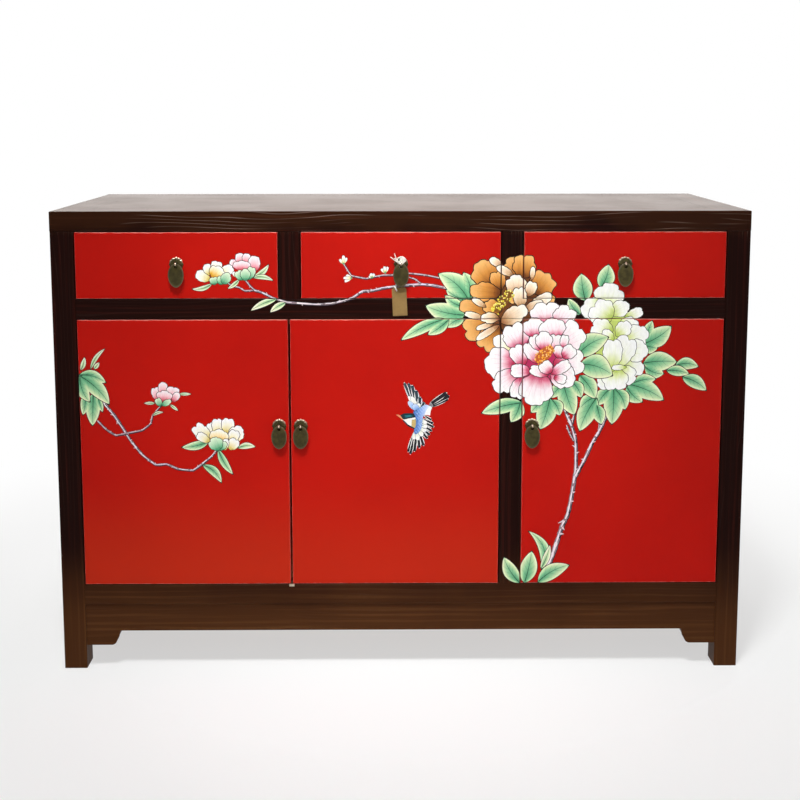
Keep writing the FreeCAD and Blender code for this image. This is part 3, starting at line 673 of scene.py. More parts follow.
def rose_rub_and_highlight(place, centre):
    """How bright a rose and its ring are: wear from rubbing and a painted highlight, at the ring's upper
    front and round the rose's upper rim.
    """
    out, rise = (front_y - place.y) / MM, (place.z - centre.z) / MM
    if out > 3.4:
        return ramp(out, 8.0, 2.2) * ramp(rise, -1.6, 2.0)
    reach = math.hypot(place.x - centre.x, place.z - centre.z) / MM
    return 0.6 * ramp(rise, 0.0, 8) * ramp(reach, 9.6, 1.2)


def plate_share(place, low, high):
    """Wear of an oval plate from rubbing: along its rim."""
    across = (place.x - (low.x + high.x) / 2) / (high.x - low.x)
    up = (place.z - (low.z + high.z) / 2) / (high.z - low.z)
    return 0.10 * ramp(math.hypot(across, up), 0.42, 0.06)


def rub(piece, share, *where):
    """Store at each vertex of a piece how bright the metal is: wear from rubbing, and on the roses a painted
    highlight.
    """
    shares = [share(vert.co, *where) for vert in piece.data.vertices]
    piece.data.attributes.new("rubbed", "FLOAT", "POINT").data.foreach_set("value", shares)


class CABINET_OT_pulls(bpy.types.Operator):
    """Make the six drop pulls: rose, ringed staple and oval plate"""

    bl_idname = "cabinet.pulls"
    bl_label = "Make the pulls"

    def execute(self, context):
        pull = context.scene.cabinet_pulls
        start = front_y - rose_height - pull.wire / 2
        back = front_y + leaf_thickness
        for name in PULLS:
            centre = pull_centre(name)
            bm = bmesh.new()
            rose_mesh(bm, centre, pull.lobes)
            ring_mesh(bm, centre, pull.wire)
            shank = Vector((centre.x, (start + back) / 2, centre.z))
            bar(bm, shank, (shank_side, back - start, shank_side), staple_rounding)
            legs = Vector((centre.x, back + pull.wire / 2, centre.z))
            bar(bm, legs, (ring_width, pull.wire, leg_length), staple_rounding)
            cast = new_piece("rose_" + name, bm, "aged_bronze", name)
            rub(cast, rose_rub_and_highlight, centre)
            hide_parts("pull_" + name)
            low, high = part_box("drop_" + name)
            bm = bmesh.new()
            plate_mesh(bm, centre, low.z, high.z, pull.dome)
            plate = new_piece("plate_" + name, bm, "aged_bronze", "drop_" + name)
            rub(plate, plate_share, low, high)
            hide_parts("drop_" + name)
        return {"FINISHED"}


# Tag and string. Each point is mm to the right of the ring, in front of the drawer, above the ring's middle
STRING_ROUTE = [
    (-11.5, 4.6, 10.5), (-2.9, 4.6, 2.5), (-3.6, 4.5, -14.0), (-8.0, 4.0, -33.0), (-9.3, 3.9, -42.6),
    (-9.3, 1.0, -45.2),
]
STRING_TAILS = {
    "string_tail_up": [(-3.0, 6.6, 4.6), (-7.0, 5.8, 6.6), (-9.2, 5.0, 11.4), (-11.3, 4.2, 18.8)],
    "string_tail_left": [(-1.0, 8.0, 2.2), (-5.6, 7.4, 3.2), (-10.6, 5.6, 6.6), (-18.0, 4.2, 12.4)],
    "string_hitch": [(-12.2, 5.4, -37.8), (-9.6, 6.3, -41.0), (-7.0, 5.8, -44.2), (-7.4, 4.6, -46.6)],
}
STRING_LOOPS = {
    "string_knot": [
        (-5.4, 5.4, 3.4), (-6.6, 4.8, 8.0), (-2.8, 4.8, 12.4), (2.8, 4.8, 13.2), (7.4, 5.0, 10.0),
        (8.0, 5.4, 6.2), (5.0, 6.4, 2.8), (1.6, 8.6, 0.2), (-2.4, 7.8, 0.8),
    ],
    "string_knot_middle": [
        (-1.2, 6.4, 10.0), (3.0, 6.2, 11.4), (6.4, 6.4, 8.6), (5.4, 7.2, 4.6), (2.2, 8.8, 1.8),
        (-1.4, 8.6, 1.8), (-2.2, 7.4, 5.6),
    ],
    "string_knot_inner": [
        (0.0, 7.4, 8.8), (3.4, 7.2, 9.6), (5.0, 7.6, 6.4), (2.4, 8.9, 3.6), (-0.4, 8.8, 4.4),
    ],
    "string_knot_heart": [(0.8, 8.0, 7.6), (3.4, 8.0, 7.4), (2.4, 8.8, 4.8), (0.2, 8.6, 5.4)],
}
string_diameter = 1.6 * MM
# The tag is laid out round its hole
tag_left = -6.5 * MM
tag_top = 4.0 * MM
tag_width = 25.0 * MM
tag_height = 49.0 * MM
tag_thickness = 0.8 * MM
tag_rounding = 0.12 * MM
tag_corner = 3.0 * MM
tag_hole = 1.8 * MM
tag_bow = 0.6 * MM
tag_tilt = math.radians(2.5)


def string_place(centre, across, out, up):
    return centre.x + across * MM, front_y - out * MM, centre.z + up * MM


def string_curve(name, points, centre, cyclic=False):
    """A string along points given as the route's are."""
    curve = bpy.data.curves.new(name, "CURVE")
    curve.dimensions = "3D"
    spline = curve.splines.new("NURBS")
    spline.points.add(len(points) - 1)
    for point, place in zip(spline.points, points):
        point.co = (*string_place(centre, *place), 1.0)
    spline.order_u = 3
    spline.use_endpoint_u = not cyclic
    spline.use_cyclic_u = cyclic
    curve.resolution_u = 10
    curve.bevel_depth = string_diameter / 2
    curve.bevel_resolution = 4
    curve.use_fill_caps = True
    curve.materials.append(bpy.data.materials["cotton"])
    piece = new_object(name, curve)
    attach(piece, "drawer_middle")
    return piece


def tag_mesh(bm, hole_centre):
    """A card with two clipped corners and a round hole, slightly bowed and tilted."""
    right, bottom = tag_left + tag_width, tag_top - tag_height
    outline = [
        (tag_left, tag_top - tag_corner), (tag_left + tag_corner, tag_top), (right - tag_corner, tag_top),
        (right, tag_top - tag_corner), (right, bottom), (tag_left, bottom),
    ]
    corners = [bm.verts.new((x, 0, z)) for x, z in outline]
    for first, second in zip(corners, corners[1:] + corners[:1]):
        bm.edges.new((first, second))
    hole = bmesh.ops.create_circle(bm, cap_ends=False, segments=24, radius=tag_hole)["verts"]
    bmesh.ops.rotate(bm, cent=(0, 0, 0), matrix=Matrix.Rotation(math.radians(90), 3, "X"), verts=hole)
    bmesh.ops.triangle_fill(bm, use_beauty=True, use_dissolve=False, edges=bm.edges[:])
    cuts = 8
    for number in range(1, cuts):
        height = tag_top - tag_height * number / cuts
        parts = bm.verts[:] + bm.edges[:] + bm.faces[:]
        bmesh.ops.bisect_plane(bm, geom=parts, plane_co=(0, 0, height), plane_no=(0, 0, 1))
    thicken(bm, tag_thickness, tag_rounding)
    for vert in bm.verts:
        vert.co.y -= tag_bow * ((vert.co.z - tag_top) / tag_height) ** 2
    bmesh.ops.rotate(bm, cent=(0, 0, 0), matrix=Matrix.Rotation(-tag_tilt, 3, "Y"), verts=bm.verts[:])
    bmesh.ops.translate(bm, vec=hole_centre, verts=bm.verts[:])


class CABINET_OT_tag(bpy.types.Operator):
    """Make the string with its knot, and the bare card tag that hangs from it"""

    bl_idname = "cabinet.tag"
    bl_label = "Make the tag"

    def execute(self, context):
        centre = pull_centre("drawer_middle")
        hole_x, hole_z = string_place(centre, *STRING_ROUTE[-1])[::2]
        bm = bmesh.new()
        tag_mesh(bm, Vector((hole_x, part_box("tag")[0].y, hole_z)))
        tag = new_piece("card_tag", bm, "tag_card", "drawer_middle", smooth_faces=False)
        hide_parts("tag")
        string = string_curve("tag_cord", STRING_ROUTE, centre)
        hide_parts("tag_string")
        ends = [string_curve(name, points, centre) for name, points in STRING_TAILS.items()]
        ends += [string_curve(name, points, centre, cyclic=True) for name, points in STRING_LOOPS.items()]
        return {"FINISHED"}


# The painted ornament. Places are mm to the right of the middle and mm up from the floor, on the fronts
# Leaves: the lobes of each leaf, each with base across, base up, tip across, tip up, width, bend
LEAVES = {
    "behind": [
        [(119, 666, 108, 711, 27, -0.1), (112, 662, 78, 681, 17, 0.05), (117, 662, 65, 709, 36, -0.1)],
        [(108, 631, 80, 616, 20, -0.1), (108, 652, 76, 671, 18, 0.1), (110, 637, 43, 653, 33, 0.05)],
        [(82, 629, 47, 603, 19, 0.04), (74, 630, 1, 594, 20, -0.04)], [(318, 662, 310, 708, 33, 0.03)],
        [(344, 685, 357, 724, 29, -0.08)], [(309, 638, 289, 665, 19, 0.08)],
        [(423, 598, 434, 626, 17, 0), (423, 583, 444, 578, 24, 0), (420, 586, 467, 616, 33, -0.06)],
        [(424, 545, 456, 533, 24, -0.1), (421, 552, 478, 554, 34, 0.04)], [(476, 547, 516, 546, 21, 0.12)],
        [(462, 539, 500, 533, 18, 0.06)], [(490, 527, 531, 504, 23, 0.08)],
        [(404, 517, 442, 524, 20, 0.06), (393, 510, 420, 483, 25, -0.08), (394, 515, 457, 487, 33, 0.06)],
        [(372, 506, 391, 470, 26, 0.1), (362, 505, 342, 478, 24, -0.06), (370, 508, 368, 444, 34, 0.02)],
        [(338, 492, 312, 472, 22, -0.08), (341, 478, 350, 444, 22, 0), (340, 490, 312, 432, 32, -0.05)],
        [(311, 530, 338, 490, 28, 0.06)],
        [(282, 516, 262, 491, 20, -0.05), (296, 520, 314, 492, 22, 0.08), (282, 518, 302, 461, 33, -0.03)],
        [(252, 488, 227, 465, 22, -0.06), (263, 487, 277, 460, 22, 0.08), (259, 490, 243, 435, 34, 0.03)],
        [(208, 484, 192, 448, 24, 0.06), (210, 482, 141, 464, 26, -0.04)], [(250, 180, 226, 250, 18, -0.2)],
        [(248, 182, 263, 224, 12, -0.04)], [(210, 156, 182, 202, 25, 0.06)],
        [(243, 157, 297, 188, 27, 0.08)], [(219, 156, 231, 213, 30, -0.02)],
        [(-325, 692, -358, 683, 8, 0.1)], [(-251, 705, -227, 725, 9, -0.1)],
        [(-253, 703, -220, 698, 8, 0.1)], [(-278, 699, -297, 684, 7, 0.05)],
        [(-215, 665, -258, 646, 11, -0.05)], [(-199, 659, -225, 643, 11, -0.05)],
        [(-537, 544, -512, 579, 7, 0.08)], [(-554, 542, -547, 564, 8, -0.05)],
        [(-531, 544, -522, 555, 7, 0)],
        [(-548, 500, -553, 463, 16, 0.05), (-526, 492, -519, 468, 10, 0), (-534, 500, -537, 444, 24, 0)],
        [
            (-556, 531, -541, 486, 22, -0.1), (-557, 531, -530, 533, 12, 0.08),
            (-557, 533, -512, 520, 20, 0.1), (-557, 532, -507, 482, 27, 0.07),
        ],
        [(-428, 483, -446, 483, 5, 0)], [(-385, 499, -365, 499, 5, 0)], [(-401, 480, -388, 470, 5, 0)],
        [(-432, 461, -414, 467, 5, 0.1)], [(-336, 414, -382, 404, 15, 0.05)],
        [(-284, 403, -255, 405, 11, 0.1)], [(-319, 399, -295, 356, 13, -0.05)],
        [(-346, 372, -315, 341, 15, 0.12)],
    ],
    "between": [
        [(306, 566, 358, 598, 36, 0.1)], [(310, 550, 367, 531, 42, 0.1)],
    ],
}
# Branches: widths at the two ends, then the points they pass
BRANCHES = [
    (3.0, 2.0, [(302, 414), (294, 428), (289, 442)]),
    (3.4, 2.6, [(298, 444), (302, 462), (305, 480)]),
    (3.2, 2.6, [(345, 425), (346, 440), (345, 462)]),
    (8.0, 4.2, [
        (252, 178), (261, 190), (268, 208), (276, 234), (283, 258), (293, 280), (298, 305), (303, 337),
        (306, 362), (306, 392), (305, 414), (299, 437), (290, 458), (281, 480),
    ]),
    (5.2, 3.8, [(306, 350), (321, 380), (335, 412), (346, 431), (356, 452), (362, 470)]),
    (2.4, 2.2, [(-303, 699), (-295, 692), (-289, 688), (-278, 686), (-268, 680), (-253, 681)]),
    (2.4, 2.4, [(-268, 700), (-259, 688), (-251, 681)]),
    (3.0, 4.2, [
        (-252, 681), (-239, 677), (-221, 668), (-196, 660), (-144, 656), (-117, 658), (-97, 663),
        (-83, 668), (-66, 679), (-49, 680), (-33, 684), (-13, 687), (9, 689), (33, 691), (55, 689),
        (84, 683),
    ]),
    (1.8, 2.6, [
        (-98, 726), (-92, 716), (-85, 706), (-71, 703), (-59, 701), (-46, 704), (-30, 707), (-13, 707),
        (12, 710), (33, 708), (47, 706), (84, 698),
    ]),
    (1.6, 2.2, [(14, 703), (26, 699), (34, 692)]),
    (4.2, 2.4, [
        (-518, 486), (-500, 463), (-486, 441), (-472, 417), (-452, 391), (-429, 373), (-410, 374),
        (-389, 365), (-364, 363), (-347, 375), (-331, 388), (-321, 401),
    ]),
    (3.0, 1.8, [
        (-528, 452), (-514, 437), (-497, 426), (-476, 430), (-451, 435), (-436, 447), (-432, 462),
        (-414, 482),
    ]),
]
# Buds: where the calyx sits and how far each tip reaches from it
BUDS = [
    ((-98.5, 727), [(-6.9, 7.5), (5.7, 9.8), (0, 14)]),
    ((-85, 702), [(-9, 5), (-12, -6.5), (-14, 0)]),
    ((-27, 711), [(-7, 6.5), (4.5, 10), (-1.6, 11)]),
    ((-50, 703), [(-5, 2), (4, 6), (-1.6, 7)]),
]
BUD_WIDTH = 5.0
# Petals: runs of one tone, each petal with base across, base up, tip across, tip up, width, lobes if many
PEONIES = {
    "green_white": [
        ("mint", [
            (353, 644, 363, 692, 52, 3), (353, 653, 311, 642, 40, 3), (362, 640, 393, 655, 29, 3),
            (387, 631, 419, 646, 18, 2), (363, 628, 331, 654, 49, 4), (375, 615, 411, 619, 33, 3),
            (385, 590, 427, 608, 40, 3), (383, 553, 421, 538, 36, 3), (386, 575, 428, 573, 40, 3),
            (377, 543, 404, 518, 36, 3), (365, 537, 347, 507, 30, 3), (372, 543, 373, 504, 46, 4),
            (366, 606, 329, 619, 36, 4), (368, 594, 346, 606, 21, 2), (373, 600, 395, 623, 27, 3),
            (365, 543, 399, 600, 42, 2), (365, 537, 368, 598, 33, 2), (391, 545, 366, 544, 9),
        ]),
    ],
    "amber": [
        ("amber", [
            (239, 669, 265, 663, 21, 3), (201, 703, 187, 737, 33, 3), (211, 701, 212, 742, 40, 4),
            (230, 675, 255, 708, 46, 5), (159, 691, 132, 729, 49, 3), (171, 681, 163, 714, 26, 2),
            (169, 625, 107, 607, 46, 4), (169, 619, 140, 577, 40, 4), (159, 647, 101, 654, 30, 3),
            (171, 675, 119, 680, 33, 3), (173, 647, 142, 652, 29, 3), (211, 666, 184, 666, 18, 2),
        ]),
        ("cream", [
            (174, 722, 153, 735, 13), (193, 706, 165, 721, 13), (225, 698, 227, 721, 8),
            (146, 651, 123, 666, 10), (144, 631, 107, 641, 11, 2), (169, 619, 130, 594, 11),
            (159, 622, 130, 613, 9), (169, 632, 138, 632, 19, 3), (199, 672, 197, 707, 35, 3),
            (219, 670, 228, 696, 19, 2), (218, 647, 259, 673, 19), (213, 646, 248, 657, 20, 2),
            (208, 649, 202, 687, 23, 2), (173, 624, 217, 649, 30, 3),
        ]),
    ],
    "pink": [
        ("pink", [(252, 619, 251, 659, 59, 4), (270, 616, 293, 650, 40, 4)]),
        ("ivory", [(203, 581, 160, 594, 33, 3)]),
        ("pink", [
            (208, 578, 190, 621, 46, 4), (199, 553, 145, 550, 58, 3), (204, 537, 162, 506, 40, 3),
            (210, 528, 200, 488, 29, 2), (268, 581, 312, 616, 55, 4), (231, 597, 230, 632, 40, 3),
            (265, 594, 258, 631, 46, 3), (265, 550, 318, 556, 52, 4), (262, 544, 299, 515, 43, 3),
            (241, 536, 229, 478, 59, 3), (214, 550, 195, 584, 29, 2), (225, 539, 188, 539, 23, 2),
            (237, 553, 217, 591, 24, 2), (243, 575, 226, 602, 21, 2), (265, 572, 268, 604, 26, 2),
            (248, 575, 247, 608, 29, 3), (280, 578, 285, 603, 14, 2), (271, 562, 280, 582, 24, 2),
            (281, 562, 300, 581, 24, 2), (266, 528, 288, 521, 16, 2), (261, 533, 295, 555, 19, 2),
        ]),
    ],
    "pink_bowl": [
        ("pink", [(255, 531, 222, 544, 18, 2), (260, 535, 244, 554, 23, 2)]),
    ],
}
BLOSSOMS = [
    ("ivory", [
        (-328, 699, -351, 711, 19), (-328, 708, -334, 726, 15), (-319, 712, -314, 732, 19, 2),
        (-314, 709, -286, 721, 17, 2),
    ]),
    ("gold", [(-322, 701, -309, 721, 29, 3)]),
    ("sepal", [
        (-320, 691, -322, 704, 15, 2), (-310, 691, -308, 706, 13, 2), (-305, 692, -296, 711, 17, 3),
    ]),
    ("rose", [
        (-278, 725, -293, 731, 11), (-275, 726, -276, 745, 16), (-267, 727, -263, 744, 14),
        (-252, 713, -251, 740, 20), (-273, 715, -273, 732, 30, 3),
    ]),
    ("ivory", [(-283, 704, -288, 713, 6)]),
    ("sepal", [
        (-272, 699, -281, 715, 15, 2), (-262, 700, -254, 722, 15, 2), (-267, 698, -267, 718, 17, 3),
    ]),
    ("rose", [
        (-421, 487, -428, 512, 16, 2), (-413, 496, -413, 520, 16), (-400, 486, -394, 513, 23, 2),
        (-397, 486, -386, 501, 12), (-412, 485, -410, 505, 27, 3),
    ]),
    ("sepal", [(-418, 478, -424, 492, 11, 2), (-415, 479, -400, 488, 10, 3)]),
    ("ivory", [
        (-322, 424, -334, 449, 19, 2), (-334, 416, -360, 444, 26, 4), (-334, 414, -357, 428, 15, 2),
        (-320, 426, -320, 457, 19, 2), (-304, 429, -300, 457, 22, 2), (-296, 413, -280, 441, 27, 3),
        (-296, 413, -288, 435, 19, 2), (-299, 400, -287, 419, 19, 2),
    ]),
    ("gold", [(-319, 410, -316, 436, 33, 3)]),
    ("ivory", [(-308, 399, -305, 419, 11)]),
    ("sepal", [(-316, 399, -309, 416, 16, 2), (-318, 399, -328, 421, 25, 3)]),
]
# The bed of colour under each peony: its middle, its two radii and its tone
PEONY_BEDS = {
    "green_white": ((370, 590), (34, 62), (196, 212, 110)),
    "amber": ((188, 662), (50, 52), (104, 56, 20)),
    "pink": ((236, 570), (52, 52), (186, 40, 92)),
}
# Stamens: from where to where, breadth, tone of the heads, tone of the bed, seed
STAMENS = {
    "amber": ((162, 645), (189, 677), 17, (232, 214, 64), (120, 74, 26), 7),
    "pink": ((236, 555), (261, 580), 21, (244, 172, 50), (196, 96, 40), 8),
}
STAMEN_SPECK = (74, 44, 18)
# Feathers: runs as the petals have them
FEATHERS = {
    "far": [
        ("slate", [
            (22.1, 476.4, 5.3, 519.1, 6.8), (24.1, 476.3, 12.6, 518.4, 6.8), (27.1, 476.3, 19, 514.3, 7.8),
            (29.6, 475.3, 26, 505.1, 8.3), (32.1, 474.3, 33, 492.9, 8.3), (35.1, 473.3, 40.2, 483.7, 6.8),
        ]),
        ("down", [
            (27.1, 471.2, 12.9, 494.6, 6.4), (28.1, 471.2, 18.3, 493.7, 8.2),
            (31.1, 472.2, 29.1, 481.5, 8.2),
        ]),
        ("blue", [(29.1, 467.1, 12.6, 484.6, 8.8), (30.1, 467.1, 22.1, 479.4, 10.7)]),
        ("tail", [
            (50.1, 474.3, 82.5, 489.8, 6.6), (49.1, 476.8, 84.6, 495.6, 7.2),
            (48.1, 478.3, 80.1, 500.6, 8.2),
        ]),
    ],
    "near": [
        ("black", [
            (23.1, 431.2, 11.9, 393.9, 5.9), (25.1, 431.2, 15.9, 389.7, 6.4), (27.1, 431.2, 23.3, 394.9, 7),
            (29.1, 431.2, 32.2, 401.1, 7), (31.1, 432.2, 39.4, 405.2, 7), (33.1, 434.3, 46.4, 418.6, 6.2),
            (35.1, 438.4, 50.4, 424.7, 6.2), (37.1, 442.5, 54.4, 431.9, 6.1),
            (37.1, 448.6, 57.4, 439.1, 6.1), (37.1, 453.8, 56.3, 445.5, 6.1),
            (40.1, 459.9, 53.3, 451.7, 5.1),
        ]),
        ("down", [
            (26.1, 433.2, 21.6, 417.3, 7.8), (28.6, 433.2, 29.1, 415.7, 7.8),
            (31.1, 435.3, 37.1, 422.9, 7.8), (32.1, 440.4, 43.7, 431.1, 7.8),
            (32.1, 445.6, 45.6, 439.4, 7.8), (33.1, 450.7, 45.1, 446.6, 6.8),
        ]),
    ],
}
# Flat shapes of the bird: tone, then the corners
BIRD_SHAPES = [
    ((238, 160, 104), [
        (-9.1, 461.5), (-4.7, 461.7), (0.3, 459.2), (4.6, 454.9), (2.9, 451.8), (-2.9, 456.8),
    ]),
    ((246, 246, 240), [
        (3.6, 453.0), (13.1, 456.4), (25.6, 458.7), (29.1, 451.7), (26.6, 441.5), (23.6, 436.3),
        (18.1, 438.9), (11.1, 443.1), (5.6, 449.2),
    ]),
    ((206, 178, 112), [(19.1, 451.8), (28.3, 453.0), (26.9, 443.5), (23.6, 436.3), (18.3, 439.4)]),
    ((18, 44, 52), [
        (-0.9, 460.5), (5.1, 463.6), (17.1, 463.9), (24.6, 463.0), (25.6, 456.9), (13.1, 455.1),
        (6.1, 453.2), (2.6, 454.9),
    ]),
    ((34, 116, 128), [(6.1, 460.0), (16.1, 461.0), (21.1, 458.8), (13.1, 456.8), (7.1, 456.0)]),
    ((24, 34, 44), [
        (3.1, 452.3), (5.6, 450.8), (12.1, 444.1), (23.6, 437.6), (23.6, 435.1), (12.1, 441.0),
        (4.1, 449.2),
    ]),
]
BIRD_BACK = [
    (21.1, 466.1), (29.1, 471.2), (41.1, 478.9), (49.1, 477.3), (53.6, 474.7), (51.1, 468.1), (45.1, 463.0),
    (39.1, 458.9), (37.1, 449.7), (36.1, 439.4), (32.1, 431.2), (25.1, 426.6), (22.7, 433.3), (26.1, 443.5),
    (25.6, 455.7),
]
BIRD_RUMP = [
    (43.1, 468.1), (49.1, 475.3), (53.6, 474.7), (51.6, 468.1), (50.3, 459.9), (46.6, 460.9), (40.6, 460.9),
]
BIRD_EYE = (8.2, 457.6)
BIRD_TONES = {
    "ink": (24, 26, 34), "back ink": (34, 54, 92), "rump": (248, 248, 246), "eye": (12, 12, 14),
    "pale stroke": (216, 228, 246), "dark stroke": (52, 86, 152),
}
BIRD_BLUES = [(66, 112, 184), (128, 166, 226), (186, 208, 242), (232, 238, 246)]
TWIG_TONES = {
    "ink": (28, 20, 30), "body": (146, 127, 134), "light": (240, 228, 232), "pale": (222, 204, 206),
    "thorn": (226, 206, 208),
}
CALYX_TONE = (96, 160, 120)
# Leaves from their green heart to their pale edge
LEAF_TONES = [(76, 152, 108), (126, 194, 146), (200, 226, 174), (240, 243, 204)]
SMALL_LEAF_TONES = [(104, 170, 120), (178, 214, 158), (236, 238, 202), (248, 242, 220)]
LEAF_LINES = {"ink": (16, 34, 24), "rib": (24, 66, 48), "vein": (78, 142, 104)}
# The seed of the first petal or feather of each group
SEEDS = {
    "green_white": 0, "amber": 100, "pink": 200, "pink_bowl": 300, "buds": 360, "far": 400, "near": 440,
    "blossoms": 500,
}
# Tones of a petal or feather from its base to its edge, and its ink
PETAL_TONES = {
    "mint": [(186, 206, 92), (222, 232, 158), (248, 250, 238), (252, 252, 250), (66, 70, 62)],
    "pink": [(190, 34, 74), (226, 122, 150), (251, 233, 238), (253, 251, 249), (56, 34, 40)],
    "amber": [(108, 56, 18), (176, 108, 40), (216, 146, 66), (240, 184, 112), (34, 17, 9)],
    "cream": [(160, 104, 62), (214, 172, 128), (244, 222, 190), (252, 246, 234), (38, 20, 10)],
    "ivory": [(222, 196, 96), (240, 228, 164), (250, 247, 232), (253, 252, 250), (58, 44, 32)],
    "gold": [(214, 144, 24), (236, 184, 66), (250, 230, 174), (253, 250, 242), (62, 46, 26)],
    "rose": [(206, 70, 82), (232, 130, 142), (248, 208, 214), (252, 240, 242), (62, 32, 36)],
    "sepal": [(72, 150, 108), (124, 192, 146), (182, 220, 182), (226, 240, 212), (26, 54, 36)],
    "slate": [(206, 216, 224), (150, 168, 180), (226, 230, 232), (246, 246, 244), (22, 26, 34)],
    "black": [(226, 228, 214), (228, 230, 224), (242, 242, 238), (248, 248, 246), (18, 20, 26)],
    "tail": [(120, 124, 126), (200, 204, 202), (242, 242, 238), (248, 248, 246), (18, 20, 26)],
    "down": [(196, 208, 196), (222, 228, 212), (244, 244, 236), (250, 250, 248), (60, 70, 76)],
    "blue": [(84, 128, 200), (112, 156, 222), (162, 194, 238), (206, 222, 246), (30, 50, 88)],
}
# Where a petal's four tones lie along it, where that isn't the common way
TONE_PLACES = {"pink": (0.08, 0.27, 0.46, 0.80)}
# Width of the ink round a petal, mm, where it isn't 1
PETAL_INKS = {
    "amber": 1.7, "cream": 1.5, "pink": 1.25,
    "slate": 0.5, "black": 0.5, "tail": 0.5, "down": 0.5, "blue": 0.5,
}
# The dark heart of a feather: its colour, and its share of the feather's width at the two ends
FEATHER_HEARTS = {
    "slate": ((44, 62, 72), 0.45, 0.70), "black": ((20, 22, 28), 0.45, 0.70),
    "tail": ((20, 22, 28), 0.62, 0.86),
}


def linear(colours):
    """Colours as they look, in the shaders' linear values."""
    return np.array([srgb(*colour) for colour in colours])


def even(tone):
    """One linear colour all over."""
    return lambda places: np.repeat([tone], len(places), axis=0)


def flat(colour):
    return even(srgb(*colour))


def graded(share, colours, stops):
    """Colours graded along a share from 0 to 1."""
    tones = linear(colours)
    return np.stack([np.interp(share, stops, tones[:, channel]) for channel in range(3)], axis=1)


def lay(painting, outline, colour, inner=()):
    """Lay a patch over what is painted already."""
    outline = np.asarray(outline, dtype=float)
    painting.append((outline, np.asarray(inner, dtype=float).reshape(-1, 2), colour))


def grown(outline, middle, margin):
    """An outline pushed out from its middle by a margin."""
    away = outline - middle
    reach = np.hypot(away[:, 0], away[:, 1])[:, None]
    return middle + away * (1 + margin / reach)


def turns(count):
    return np.linspace(0, TURN, count, endpoint=False)


def ellipse(middle, radii, count):
    angles = turns(count)
    return np.array(middle) + np.array(radii) * np.stack([np.cos(angles), np.sin(angles)], axis=1)


def dot(painting, middle, radius, colour, sides=7):
    lay(painting, ellipse(middle, (radius, radius), sides), flat(colour))


def ribbon(painting, points, start_width, end_width, colour, uneven=0.0, seed=0):
    """A stroke along points, from one width to another."""
    points = np.asarray(points, dtype=float)
    ahead = np.gradient(points, axis=0)
    ahead /= np.hypot(ahead[:, 0], ahead[:, 1])[:, None]
    across = np.stack([-ahead[:, 1], ahead[:, 0]], axis=1)
    widths = np.linspace(start_width, end_width, len(points))
    if uneven:
        widths = widths * (1 + uneven * np.random.default_rng(seed).uniform(-1, 1, len(points)))
    half = across * widths[:, None] / 2
    lay(painting, np.concatenate([points - half, (points + half)[::-1]]), colour)


def curved(points, per_span):
    """Points along a smooth curve through the given points."""
    points = np.asarray(points, dtype=float)
    ends = np.concatenate([[2 * points[0] - points[1]], points, [2 * points[-1] - points[-2]]])
    shares = np.linspace(0, 1, per_span, endpoint=False)[:, None]
    rows = []
    for before, start, end, after in zip(ends, ends[1:], ends[2:], ends[3:]):
        rows.append(0.5 * (
            2 * start + (end - before) * shares
            + (2 * before - 5 * start + 4 * end - after) * shares ** 2
            + (3 * start - before - 3 * end + after) * shares ** 3
        ))
    return np.concatenate(rows + [points[-1:]])


def branch(painting, start_width, end_width, points, seed):
    """A knotty twig: dark ink, a grey body, broken pale lights, dark blots and small thorns."""
    chance = np.random.default_rng(seed)
    line = curved(points, 6)
    places = np.linspace(0, len(points) - 1, len(line))
    straight = [np.interp(places, range(len(points)), np.array(points)[:, axis]) for axis in (0, 1)]
    line = 0.35 * line + 0.65 * np.stack(straight, axis=1)
    widths = np.linspace(start_width, end_width, len(line))
    light = TWIG_TONES["light" if max(start_width, end_width) > 3.5 else "pale"]
    thorns = []
    for place in range(3, len(line) - 3, 3):
        if chance.random() < 0.45:
            continue
        ahead = line[place + 1] - line[place]
        ahead /= np.hypot(*ahead)
        out = np.array((-ahead[1], ahead[0])) * chance.choice((-1, 1))
        root = line[place] + out * widths[place] * 0.2
        tip = root + (out + ahead * chance.uniform(-1.2, 1.2)) * widths[place] * chance.uniform(0.4, 1.1)
        thorns.append(([root, (root + tip) / 2, tip], widths[place]))
    ink = flat(TWIG_TONES["ink"])
    for thorn, width in thorns:
        ribbon(painting, thorn, width * 0.7 + 0.9, 1.0, ink)
    ribbon(painting, line + (0.5, -0.5), start_width + 2.0, end_width + 1.6, ink, 0.14, seed)
    ribbon(painting, line, start_width, end_width, flat(TWIG_TONES["body"]), 0.20, seed)
    place = 0
    while place < len(line) - 2:
        span = int(chance.integers(3, 7))
        part = line[place:place + span + 1]
        width = widths[place] * chance.uniform(0.4, 0.75)
        ribbon(painting, part + (-0.4, 0.35), width, width * chance.uniform(0.4, 0.9), flat(light), 0.4, seed)
        place += span + (1 if chance.random() < 0.45 else 0)
    for place in range(1, len(line) - 3, 2):
        if widths[place] > 2.6 and chance.random() < 0.5:
            blot = line[place:place + 3] + np.array((0.30, -0.12)) * widths[place]
            width = widths[place] * chance.uniform(0.14, 0.36)
            ribbon(painting, blot, width, width * 0.6, ink)
    for thorn, width in thorns:
        ribbon(painting, thorn, width * 0.6, 0.5, flat(TWIG_TONES["thorn"]))


